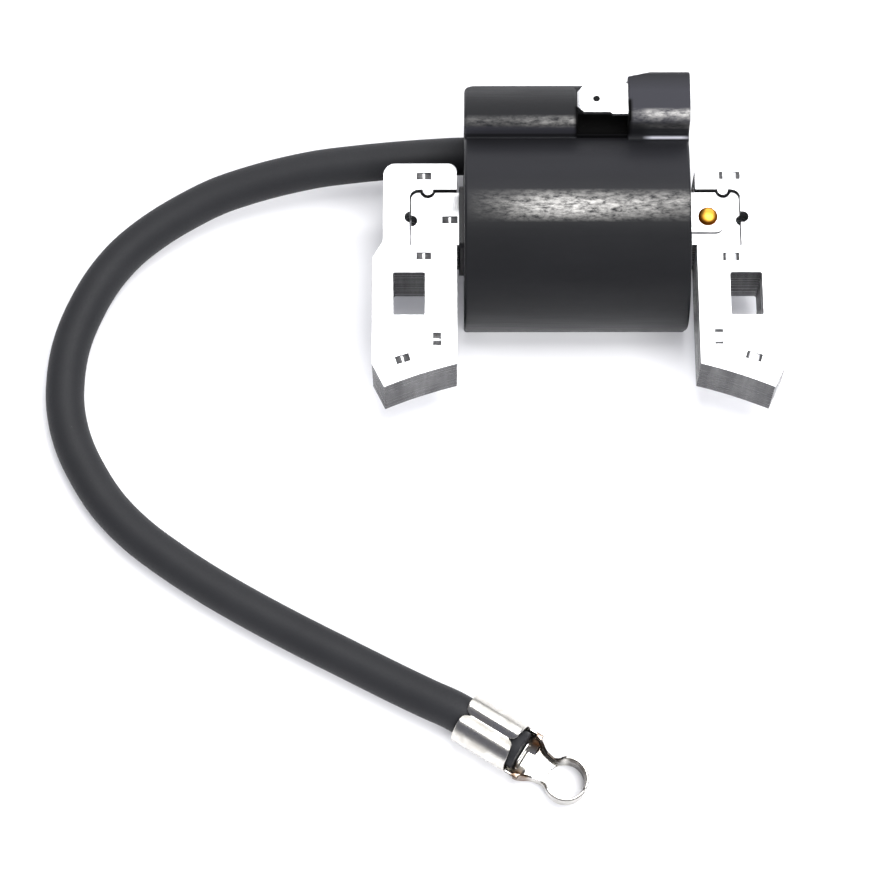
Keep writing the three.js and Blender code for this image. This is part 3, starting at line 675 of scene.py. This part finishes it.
def strawAndShade(tree, base, haze):
    # straw and brown at both sides of the neck
    local = addNode(tree, "ShaderNodeMapping", {
        "Vector": objectCoords(tree), "Location": tuple(v * mm for v in clip["place"]),
        "Rotation": (0, 0, math.radians(clip["turn"]))}, vector_type="TEXTURE").outputs[0]
    x, y, z = separate(local)
    straw = productOf(
        rangeOf(mathOf("ABSOLUTE", y), 0.0019, 0.003), bandOf(x, 0.0119, 0.0152, 0.0006),
        rangeOf(haze, 0.25, 0.6, 0.4, 1))
    base = mixColor(straw, base, clip["straw"])
    # painted shade on the inner side of the ring and of the neck, on the far side
    ringX, ringY, ringZ = separate(awayFrom(local, (clip["ringX"] * mm, 0, 0)))
    radius = distanceFromAxis(ringX, ringY)
    sheet = clip["ringRadius"] * mm
    facing = mathOf("ADD", productOf(ringY, 0.8), productOf(ringX, 0.6))
    inner = productOf(
        rangeOf(radius, sheet + 0.00008, sheet + 0.00014, 1.0, 0.0), rangeOf(facing, 0.0012, 0.002))
    wall = productOf(
        rangeOf(y, 0.0017, 0.0019), bandOf(x, 0.0142, 0.0186, 0.0004), rangeOf(z, -0.0037, -0.0035))
    farSideShade = productOf(largestOf(inner, wall), rangeOf(haze, 0.3, 0.6, 0.75, 1.0))
    base = mixColor(farSideShade, base, clip["farSideShade"])
    # painted shade in the groove of the bead round the outside
    groove = productOf(
        rangeOf(radius, sheet + 0.00012, sheet + 0.0002), bandOf(z, -0.0013, -0.0009, 0.0001),
        rangeOf(x, 0.0178, 0.0184))
    return mixColor(groove, base, clip["groove"])


def makeTerminal():
    lipX, half = clip["lipX"], clip["lipSheet"] / 2
    lip = prism("lip", roundedBox(*clip["lip"]), lipX - half, lipX + half)
    parts = [crimpSheet(), neckWall(1), neckWall(-1), neckFloor(), lip]
    bm = bmesh.new()
    for part in parts:
        bm.from_mesh(part.data)
        bpy.data.objects.remove(part)
    piece = fromBmesh("snapTerminal", bm)
    fuse = piece.modifiers.new("fuse", "REMESH")
    fuse.mode = "VOXEL"
    fuse.voxel_size = clip["weld"]
    soften = piece.modifiers.new("soften", "SMOOTH")
    soften.factor = 0.5
    soften.iterations = 3
    applyModifiers(piece)
    turned = Matrix.Rotation(math.radians(clip["turn"]), 4, "Z")
    piece.data.transform(Matrix.Translation(clip["place"]) @ turned)
    plate = makePlate("nickelPlate", clip["bright"], clip["hazy"], 0.27, strawAndShade)
    finishPiece(piece, ["plug_terminal"], plate, 60)
    print("terminal faces", len(piece.data.polygons))


core = {
    "sheets": 22,
    "back": 8.45,
    "front": 19.55,
    "gap": 0.01,
    "slip": 0.02,       # how far the sheets sit out of line
    "seed": 11,
    "edgeRound": 0.11,
    "stakeDepth": 0.42,
    "brightMiddle": {"left_leg": 0.07, "core_bar": 0.07, "right_leg": 0.3},     # half of a stake's bright middle
    "stakes": {          # x, y, length, width, turn in degrees
        "left_leg": [(-27.6, 8.5, 2.7, 1.4, 0), (-27.6, -7.3, 2.7, 1.4, 0), (-25.2, -23.4, 2.5, 1.5, 90),
                     (-31.3, -27.2, 2.6, 1.5, 17)],
        "right_leg": [(27.9, 8.6, 3.8, 1.5, 0), (27.7, -7.5, 3.0, 1.6, 0), (25, -23, 2.9, 1.5, 90),
                      (31.1, -26.8, 2.9, 1.5, -17)],
        "core_bar": [(-22.9, -0.2, 2.8, 1.4, 0)],
    },
}


def stackTree(face, edge):
    # stacks one flat sheet into a laminated core
    tree = bpy.data.node_groups.new("laminationStack", "GeometryNodeTree")
    for name, kind in (("Sheet", "Geometry"), ("Count", "Int"), ("Seed", "Int"), ("Pitch", "Float"),
                       ("Thickness", "Float"), ("Slip", "Float")):
        tree.interface.new_socket(name, in_out="INPUT", socket_type="NodeSocket" + kind)
    tree.interface.new_socket("Stack", in_out="OUTPUT", socket_type="NodeSocketGeometry")
    given = tree.nodes.new("NodeGroupInput").outputs
    # one closed sheet
    upwards = addNode(tree, "ShaderNodeCombineXYZ", {"Z": 1.0})
    raised = addNode(tree, "GeometryNodeExtrudeMesh", {
        "Mesh": given["Sheet"], "Offset": upwards.outputs[0], "Offset Scale": given["Thickness"],
        "Individual": False})
    flipped = addNode(tree, "GeometryNodeFlipFaces", {"Mesh": given["Sheet"]})
    closed = addNode(tree, "GeometryNodeJoinGeometry", {0: raised.outputs["Mesh"]})
    tree.links.new(flipped.outputs["Mesh"], closed.inputs[0])
    welded = addNode(tree, "GeometryNodeMergeByDistance", {"Geometry": closed.outputs[0], "Distance": 0.001})
    # its copies, each slipped a little out of line
    step = addNode(tree, "ShaderNodeCombineXYZ", {"Z": given["Pitch"]})
    places = addNode(tree, "GeometryNodeMeshLine", {"Count": given["Count"], "Offset": step.outputs[0]})
    slip = addNode(tree, "FunctionNodeRandomValue", {
        "Min": (-1, -1, 0), "Max": (1, 1, 0), "Seed": given["Seed"]}, data_type="FLOAT_VECTOR")
    scaled = addNode(tree, "ShaderNodeVectorMath", {
        0: slip.outputs["Value"], "Scale": given["Slip"]}, operation="SCALE")
    slipped = addNode(tree, "GeometryNodeSetPosition", {
        "Geometry": places.outputs[0], "Offset": scaled.outputs[0]})
    copies = addNode(tree, "GeometryNodeInstanceOnPoints", {
        "Points": slipped.outputs[0], "Instance": welded.outputs["Geometry"]})
    real = addNode(tree, "GeometryNodeRealizeInstances", {0: copies.outputs[0]})
    # faces that don't look up or down are sheared edges
    normal = tree.nodes.new("GeometryNodeInputNormal").outputs[0]
    upright = mathOf("ABSOLUTE", separate(normal)["Z"])
    sideways = addNode(tree, "FunctionNodeCompare", {"A": upright, "B": 0.5}, operation="LESS_THAN")
    faceSet = addNode(tree, "GeometryNodeSetMaterial", {"Geometry": real.outputs[0], "Material": face})
    edgeSet = addNode(tree, "GeometryNodeSetMaterial", {
        "Geometry": faceSet.outputs[0], "Selection": sideways.outputs[0], "Material": edge})
    addNode(tree, "NodeGroupOutput", {"Stack": edgeSet.outputs[0]})
    return tree


def flatSheet(node):
    # the flat back face of a core piece, laid at z = 0 as one sheet's outline
    bm = bmesh.new()
    bm.from_mesh(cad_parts[node].data)
    bmesh.ops.transform(bm, matrix=Matrix.Scale(1 / mm, 4), verts=bm.verts)
    bmesh.ops.remove_doubles(bm, verts=bm.verts, dist=0.001)
    low = min(v.co.z for v in bm.verts)
    others = [f for f in bm.faces if max(v.co.z for v in f.verts) > low + 0.01]
    bmesh.ops.delete(bm, geom=others, context="FACES")
    for vert in bm.verts:
        vert.co.z = 0.0
    bm.normal_update()
    for face in bm.faces:
        if face.normal.z < 0:
            face.normal_flip()
    return fromBmesh(node + "Sheet", bm, recalc=False)


def dishedStake(x, y, length, width, turn):
    # the cutter of one stake: straight sides, and a floor that curves down between its ends
    depth = core["stakeDepth"]
    radius = ((length / 2) ** 2 + depth ** 2) / (2 * depth)
    half = math.degrees(math.asin(length / 2 / radius))
    outline = arc(0, radius - depth, radius, -90 - half, -90 + half, 16)
    outline += [(length / 2, 1.0), (-length / 2, 1.0)]
    cutter = prism("stake", outline, -width / 2, width / 2, "y")
    turned = Matrix.Rotation(math.radians(turn), 4, "Z")
    cutter.data.transform(Matrix.Translation((x, y, core["front"])) @ turned)
    return cutter


def darkEdges(piece, face, edge):
    # the sheared and rounded edges of a plate take the darker finish
    setMaterials(piece.data, face, edge)
    for polygon in piece.data.polygons:
        polygon.material_index = 1 if abs(polygon.normal.z) < 0.93 else 0


def inStakeEnd(node, spot):
    # painted shade: a stake's floor takes the dark edge finish towards its ends and sides, leaving only its
    # middle bright
    if spot.z > core["front"] - 0.002:
        return False
    for x, y, length, width, turn in core["stakes"][node]:
        away = Matrix.Rotation(-math.radians(turn), 2) @ Vector((spot.x - x, spot.y - y))
        if abs(away.x) < length / 2 + 0.1 and abs(away.y) < width / 2 + 0.1:
            return abs(away.x) > core["brightMiddle"][node] * length or abs(away.y) > 0.35 * width
    return False


def keepMaterials(mesh, order):
    # puts the mesh's materials in one known order
    numbers = [order.index(mesh.materials[p.material_index]) for p in mesh.polygons]
    setMaterials(mesh, *order)
    mesh.polygons.foreach_set("material_index", numbers)


def makeStack(node, name, face, edge, tree):
    pitch = (core["front"] - core["back"]) / core["sheets"]
    thickness = pitch - core["gap"]
    stack = flatSheet(node)
    front = newObject("frontSheet", stack.data.copy())
    pile = stack.modifiers.new("pile", "NODES")
    pile.node_group = tree
    wanted = {"Count": core["sheets"] - 1, "Pitch": pitch, "Thickness": thickness, "Slip": core["slip"],
              "Seed": core["seed"] + len(name)}
    for item in tree.interface.items_tree:
        if item.in_out == "INPUT" and item.name in wanted:
            pile[item.identifier] = wanted[item.name]
    applyModifiers(stack)
    stack.data.transform(Matrix.Translation((0, 0, core["back"])))
    keepMaterials(stack.data, [face, edge])

    thick = front.modifiers.new("thick", "SOLIDIFY")
    thick.thickness = thickness
    thick.offset = -1
    applyModifiers(front)
    front.data.transform(Matrix.Translation((0, 0, core["front"])))
    combine(front, [dishedStake(*stake) for stake in core["stakes"][node]])
    bevelEdges(front, core["edgeRound"], 2, 40)
    darkEdges(front, face, edge)
    # painted shade on the stakes: their ends take the dark edge finish
    for polygon in front.data.polygons:
        if inStakeEnd(node, polygon.center):
            polygon.material_index = 1

    bm = bmesh.new()
    bm.from_mesh(stack.data)
    bm.from_mesh(front.data)
    bpy.data.objects.remove(front)
    bpy.data.objects.remove(stack)
    piece = fromBmesh(name, bm, recalc=False)
    piece.data.materials.append(face)
    piece.data.materials.append(edge)
    finishPiece(piece, [node], None, 30)
    print(name, "faces", len(piece.data.polygons))


housing = {
    "left": -20.3,
    "right": 19.7,
    "barrelY": 0.15,
    "axisZ": 14.0,
    "radius": 18.2,
    "tilt": 20,          # how far below its axis the barrel's flank leaves the round
    "wall": 2.0,
    "blockFront": 12.3,
    "blockBack": 23.0,
    "blockWall": 1.4,
    "ridgeEdge": 27.5,
    "ridgeTop": 32.2,
    "ridgeShoulder": 2.2,
    "ridgeFillet": 0.3,
    "ridgeRight": 0.0,
    "floor": 28.7,
    "terminalLeft": 8.95,
    "terminalTop": 35.0,
    "terminalEdge": 32.8,
    "terminalShoulder": 1.8,
    "cavityTop": 26.2,
    "bore": (6.45, 7.35, 1.5),             # half width, half height and corner
    "leadHole": (16.5, 11.2, 3.65),        # y, z and radius
    "tabSlot": (17.5, 32.2, 3.15, 0.55, 0.1),
    "cornerRound": 2.0,
    "endRound": 0.5,
    "footFillet": 0.75,
    "draft": 0.03,       # the right end widens towards the open back
    "lean": 0.025,       # and towards the far side of the block
    "edge": 0.16,
}


def footArc(fillet):
    # the fillet between the block's front wall and the barrel, going down
    cy = housing["blockFront"] - fillet
    cz = housing["axisZ"] + math.sqrt((housing["radius"] + fillet) ** 2 - (cy - housing["barrelY"]) ** 2)
    towards = math.degrees(math.atan2(housing["axisZ"] - cz, housing["barrelY"] - cy))
    return arc(cy, cz, fillet, 0, towards, 8)


def flankY(z, radius):
    # where the flank of a barrel of this radius is at a height
    tilt = math.radians(housing["tilt"])
    startY = housing["barrelY"] - radius * math.cos(tilt)
    startZ = housing["axisZ"] - radius * math.sin(tilt)
    return startY + (startZ - z) * math.tan(tilt)


def barrelLine(footY, bottom, radius):
    # over the front of the barrel and down its flank
    first = math.degrees(math.acos((footY - housing["barrelY"]) / radius))
    line = arc(housing["barrelY"], housing["axisZ"], radius, first, 180 + housing["tilt"], 90)
    return line + [(flankY(bottom, radius), bottom)]


def baseOutline():
    front = housing["blockFront"] + 0.04
    back = housing["blockBack"] - 0.02
    edge, floor = housing["ridgeEdge"], housing["floor"]
    line = [(back, 0), (back, edge - 0.6), (back - 0.6, edge), (back - 2.6, floor), (front + 0.3, floor),
            (front, floor - 0.3)]
    return line + barrelLine(front - 0.02, 0, housing["radius"])


def blockOutline(edge, top, shoulder, fillet):
    # the cross section of the ridge and of the terminal block
    front, back = housing["blockFront"], housing["blockBack"]
    line = [(back, 18), (back, edge - 0.6), (back - 0.6, edge)]
    line += bend((back - 0.6, edge), (front + 5.5, top - 0.5), (front + shoulder, top), 16)     # long slope
    line += bend((front + shoulder, top), (front, top), (front, top - shoulder), 12)
    return line + footArc(fillet) + [(front - 2, 24), (front - 2, 18)]


def cavityOutline(bottom):
    radius = housing["radius"] - housing["wall"]
    top = housing["cavityTop"]
    back = housing["blockBack"] - housing["blockWall"]
    footY = housing["barrelY"] + math.sqrt(radius ** 2 - (top - housing["axisZ"]) ** 2)
    return [(back, bottom), (back, top), (footY + 0.01, top)] + barrelLine(footY, bottom, radius)


def cornerCutter(x, radius, low, high):
    # takes the left back corner of the block off round an arc
    back = housing["blockBack"]
    outline = [(x - 1, back + 1), (x - 1, back - radius), (x, back - radius)]
    outline += arc(x + radius, back - radius, radius, 180, 90, 10)[1:] + [(x + radius, back + 1)]
    return prism("corner", outline, low, high, "z")


def slopeCutter():
    # the slanting left corner of the terminal block
    x, back = housing["terminalLeft"], housing["blockBack"]
    outline = [(x - 1, back + 1), (x - 1, back - 1.35), (x, back - 1.35)]
    outline += bend((x, back - 1.35), (x + 2.2, back - 0.7), (x + 3.6, back), 8) + [(x + 3.6, back + 1)]
    return prism("slope", outline, housing["floor"] + 0.01, 40, "z")


def makeHousing():
    left, right, rounding = housing["left"], housing["right"], housing["endRound"]
    ridge = blockOutline(*(housing[k] for k in ("ridgeEdge", "ridgeTop", "ridgeShoulder", "ridgeFillet")))
    shoulder, fillet = housing["terminalShoulder"], housing["footFillet"]
    block = blockOutline(housing["terminalEdge"], housing["terminalTop"] - 0.1, shoulder, fillet)
    body = prism("coilHousing", baseOutline(), left, right, "x", rounding, 5)
    combine(body, [
        prism("ridge", ridge, left - 0.01, housing["ridgeRight"], "x", rounding, 5),
        prism("block", block, housing["terminalLeft"], right + 0.01, "x", 0.3, 4),
    ], "UNION")
    combine(body, [
        cornerCutter(left, housing["cornerRound"], -1, 40),
        slopeCutter(),
        prism("cavity", cavityOutline(-1), left + housing["wall"], right - housing["wall"]),
        prism("bore", roundedBox(0, housing["axisZ"], *housing["bore"]), left - 1, right + 1),
        prism("leadHole", arc(*housing["leadHole"], 0, 352.5, 47), left - 1, left + housing["wall"] + 1),
        prism("tabSlot", roundedBox(*housing["tabSlot"], 2), housing["terminalLeft"] - 1, 16.3),
    ])
    bevelEdges(body, housing["edge"], 2, 38)
    for vert in body.data.vertices:
        if vert.co.x > 10:
            vert.co.x += housing["draft"] * (32 - vert.co.z) + housing["lean"] * max(0, vert.co.y - 5)
    finishPiece(body, ["coil_housing"], makeHousingPlastic(), 32)
    print("housing faces", len(body.data.polygons))


# dish is how far its face sinks between the walls
potting = {"left": -18.4, "right": 17.6, "depth": 6.0, "dish": 0.35, "ripple": 0.05, "cells": 64}


def makePotting():
    radius = housing["radius"] - housing["wall"]
    far = housing["blockBack"] - housing["blockWall"] - 0.05
    cells = potting["cells"]
    bm = bmesh.new()
    levels = []
    for level in (0, 1):
        near = flankY(level * potting["depth"], radius) + 0.05
        grid = []
        for i in range(cells + 1):
            row = []
            for j in range(cells + 1):
                x = potting["left"] + (potting["right"] - potting["left"]) * i / cells
                y = near + (far - near) * j / cells
                toWall = min(x - potting["left"], potting["right"] - x, y - near, far - y)
                ripple = potting["ripple"] * noise.noise(Vector((x * 0.22, y * 0.22, 3.1)))
                surface = potting["dish"] * (1 - math.exp(-toWall / 1.1)) + ripple * min(1, toWall)
                height = potting["depth"] if level else max(0.05, surface + 0.05)
                row.append(bm.verts.new((x, y, height)))
            grid.append(row)
        levels.append(grid)
    for grid in levels:
        for i in range(cells):
            for j in range(cells):
                bm.faces.new((grid[i][j], grid[i + 1][j], grid[i + 1][j + 1], grid[i][j + 1]))
    low, high = levels
    rim = [(i, 0) for i in range(cells)] + [(cells, j) for j in range(cells)]
    rim += [(cells - i, cells) for i in range(cells)] + [(0, cells - j) for j in range(cells)]
    for (a, b), (c, d) in zip(rim, rim[1:] + rim[:1]):
        bm.faces.new((low[a][b], low[c][d], high[c][d], high[a][b]))
    piece = fromBmesh("pottedBack", bm)
    finishPiece(piece, ["potting_fill"], makeEpoxy(), 50)
    print("potting made")


bobbin = {
    "left": -21.25,
    "right": 20.65,
    "halfY": 6.15,
    "halfZ": 7.05,
    "wall": 0.8,
    "round": 1.2,
    "flangeX": (-16.5, 15.7),
    "flange": (7.45, 8.35, 3.2),           # half width, half height and corner
}


def makeBobbin():
    middle, wall = housing["axisZ"], bobbin["wall"]
    outside = roundedBox(0, middle, bobbin["halfY"], bobbin["halfZ"], bobbin["round"])
    bore = roundedBox(0, middle, bobbin["halfY"] - wall, bobbin["halfZ"] - wall, 0.5)
    flange = roundedBox(0, middle, *bobbin["flange"])
    tube = prism("primaryBobbin", outside, bobbin["left"], bobbin["right"], "x", 0.2, 3)
    combine(tube, [prism("flange", flange, x, x + wall) for x in bobbin["flangeX"]], "UNION")
    combine(tube, [prism("bore", bore, -30, 30)])
    finish = makePlain("bobbinNylon", (0.007, 0.007, 0.008), (0.012, 0.012, 0.013), 0.42, 400)
    finishPiece(tube, ["primary_bobbin"], finish)


tab = {
    "tip": -0.1, "end": 16.0, "front": 14.9, "width": 5.2, "low": 31.8, "high": 32.6,
    "shoulderX": 6.2, "shoulder": 0.4, "chamfer": 1.15, "holeX": 3.3, "hole": 0.62,
    "shank": (28.0, 1.5, 4.4, 0.2),        # z, half width, half height and corner
}


def makeTab(edge):
    tip, end, step, shoulder, chamfer = (tab[k] for k in ("tip", "end", "shoulderX", "shoulder", "chamfer"))
    low, high = tab["front"], tab["front"] + tab["width"]
    middle = (low + high) / 2
    outline = [
        (tip + chamfer, low), (step - 0.5, low), (step, low - shoulder), (end, low - shoulder),
        (end, high + shoulder), (step, high + shoulder), (step - 0.5, high), (tip + chamfer, high),
        (tip, high - chamfer), (tip, low + chamfer)]
    blade = prism("stopTerminal", outline, tab["low"], tab["high"], "z")
    shank = prism("shank", roundedBox(middle, *tab["shank"]), end - 0.8, end - 0.001)
    combine(blade, [shank], "UNION")
    cutters = [prism("hole", arc(tab["holeX"], middle, tab["hole"], 0, 348.75, 31), 30, 34, "z")]
    for face, way in ((tab["high"], 1), (tab["low"], -1)):       # lead-in chamfers on both sides of the tip
        wedge = [(tip - 0.5, face + way * 0.1), (tip + 0.75, face + way * 0.1), (tip + 0.75, face),
                 (tip - 0.5, face - way * 0.46)]
        cutters.append(prism("leadIn", wedge, low - 1, high + 1, "y"))
    combine(blade, cutters)
    bevelEdges(blade, 0.07, 2, 30)
    tin = makePlate("tinPlate", (0.95, 0.95, 0.95), (0.84, 0.84, 0.85), 0.26)
    darkEdges(blade, tin, edge)
    finishPiece(blade, ["stop_terminal"], None, 30)
    return tin


strap = {"left": 16.8, "right": 26.4, "low": -3.0, "high": 3.5, "thickness": 0.5, "round": 1.3, "hole": 1.3}
rivet = {"x": 23.7, "y": 0.15, "shank": 1.2, "head": 1.75, "height": 0.95, "brim": 0.22}


def makeStrap(tin, edge):
    left, right, low, high, corner = (strap[k] for k in ("left", "right", "low", "high", "round"))
    outline = [(left, low)] + arc(right - corner, low + corner, corner, -90, 0, 8)
    outline += arc(right - 0.5, high - 0.5, 0.5, 0, 90, 4) + [(left, high)]
    plate = prism("groundStrap", outline, core["front"] + 0.02, core["front"] + strap["thickness"], "z")
    combine(plate, [prism("hole", arc(rivet["x"], rivet["y"], strap["hole"], 0, 348.75, 31), 15, 25, "z")])
    bevelEdges(plate, 0.12, 2, 40)
    darkEdges(plate, tin, edge)
    finishPiece(plate, ["ground_strap"], None, 30)


def warmRim(tree, base, haze):
    # the rim of the rivet's head is a deeper orange than its crown
    x, y, z = separate(awayFrom(objectCoords(tree), (rivet["x"] * mm, rivet["y"] * mm, 0)))
    rim = rangeOf(distanceFromAxis(x, y), 0.0011, 0.0015)
    return mixColor(rim, base, (0.42, 0.13, 0.012))


def makeRivet():
    head, brim, shank = rivet["head"], rivet["brim"], rivet["shank"]
    top = core["front"] + strap["thickness"]
    bottom = core["back"]
    profile = [(0, bottom - 0.8), (head - 0.35, bottom - 0.8), (head, bottom - 0.5), (head, bottom - 0.02),
               (shank, bottom - 0.02), (shank, top), (head - 0.1, top), (head, top + 0.08),
               (head, top + brim)]
    rise = rivet["height"] - brim
    profile += [((head - 0.06) * r, top + brim + rise * h) for r, h in arc(0, 0, 1, 0, 90, 10)[1:-1]]
    piece = spun("groundRivet", profile + [(0, top + rivet["height"])], 48)
    piece.data.transform(Matrix.Translation((rivet["x"], rivet["y"], 0)))
    copper = makePlate("rivetCopper", (0.9, 0.5, 0.07), (0.7, 0.33, 0.04), 0.34, warmRim)
    finishPiece(piece, ["ground_rivet"], copper, 40)
    print("fittings made")


def paintInside():
    # the pieces sealed inside keep their solids and take finishes of their own
    wire = makePlain("enamelledWire", (0.42, 0.13, 0.045), (0.3, 0.085, 0.03), 0.3, 500, 0.75, 0.4, (6, 1, 1))
    nylon = bpy.data.materials["bobbinNylon"]
    black = makePlain("componentPlastic", (0.014, 0.014, 0.014), (0.024, 0.023, 0.022), 0.45, 700)
    lacquer = makePlain("resistorLacquer", (0.58, 0.42, 0.24), (0.48, 0.33, 0.18), 0.3, 600)
    film = makePlain("polyesterFilm", (0.72, 0.46, 0.12), (0.6, 0.36, 0.09), 0.22, 300)
    laminate = makePlain("boardLaminate", (0.02, 0.13, 0.04), (0.03, 0.17, 0.06), 0.35, 350, 0, 0.3)
    contact = makePlate("contactBrass", (0.85, 0.62, 0.27), (0.7, 0.48, 0.2), 0.25)
    finishes = {
        "primary_winding": wire, "ht_link_wire": wire, "primary_feed_wire": wire, "primary_ground_wire": wire,
        "secondary_bobbin": nylon,
        "insulation_sleeve": film,
        "circuit_board": laminate,
        "power_transistor": black, "trigger_transistor": black, "suppressor_diode": black,
        "bias_resistor": lacquer, "trigger_resistor": lacquer, "ht_contact": contact,
    }
    for i in range(1, 6):
        finishes["secondary_winding_" + str(i)] = wire
    for node, finish in finishes.items():
        setMaterials(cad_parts[node].data, finish)
    print("inner pieces painted")


# glow is the brightness of a lamp's face; a lamp that doesn't shine is left out of reflections
studio = {
    "overhead": {"place": (0.16, 0.1, 0.8), "size": (0.62, 0.48), "glow": 8.5, "shines": True},
    "front": {"place": (0.12, -0.55, 0.55), "size": (0.8, 0.5), "glow": 5.0, "shines": False},
    "back": {"place": (0.0, 0.7, 0.42), "size": (1.3, 0.8), "glow": 1.6, "shines": True},
    "aim": (0, 0, 0),
    "fill": (0.8, 0.82, 1.0),
    "fillStrength": 0.2,
    "paper": (0.9, 0.9, 0.915),
}


def hangLamp(name, aimed):
    setting = studio[name]
    data = bpy.data.lights.new(name, "AREA")
    data.shape = "RECTANGLE"
    data.size, data.size_y = setting["size"]
    data.energy = setting["glow"] * math.pi * data.size * data.size_y
    lamp = newObject(name, data)
    lamp.location = setting["place"]
    lamp.visible_glossy = setting["shines"]
    if aimed:
        towards = Vector(setting["place"]) - Vector(studio["aim"])
        lamp.rotation_euler = towards.to_track_quat("Z", "Y").to_euler()


def makeStudio():
    mesh = bpy.data.meshes.new("floor")
    mesh.from_pydata([(-2, -2, 0), (2, -2, 0), (2, 2, 0), (-2, 2, 0)], [], [(0, 1, 2, 3)])
    floor = newObject("floor", mesh)
    paper, tree, shader = startMaterial("paper")
    shader.inputs["Base Color"].default_value = (*studio["paper"], 1)
    shader.inputs["Roughness"].default_value = 0.9
    shader.inputs["Specular IOR Level"].default_value = 0.1
    mesh.materials.append(paper)
    world = bpy.data.worlds.new("studio")
    scene.world = world
    world.use_nodes = True
    background = world.node_tree.nodes["Background"].inputs
    background["Color"].default_value = (*studio["fill"], 1)
    background["Strength"].default_value = studio["fillStrength"]
    hangLamp("overhead", aimed=False)
    hangLamp("front", aimed=True)
    hangLamp("back", aimed=True)
    scene.view_settings.view_transform = "Standard"
    print("studio made")


def buildCoil():
    makeCamera()
    makeTerminal()
    makeLead()
    face = makeSheetFace()
    edge = makeSheetEdge()
    tree = stackTree(face, edge)
    makeStack("left_leg", "leftLegStack", face, edge, tree)
    makeStack("right_leg", "rightLegStack", face, edge, tree)
    makeStack("core_bar", "crossbarStack", face, edge, tree)
    makeHousing()
    makePotting()
    makeBobbin()
    makeStrap(makeTab(edge), edge)
    makeRivet()
    paintInside()
    makeStudio()


buildCoil()
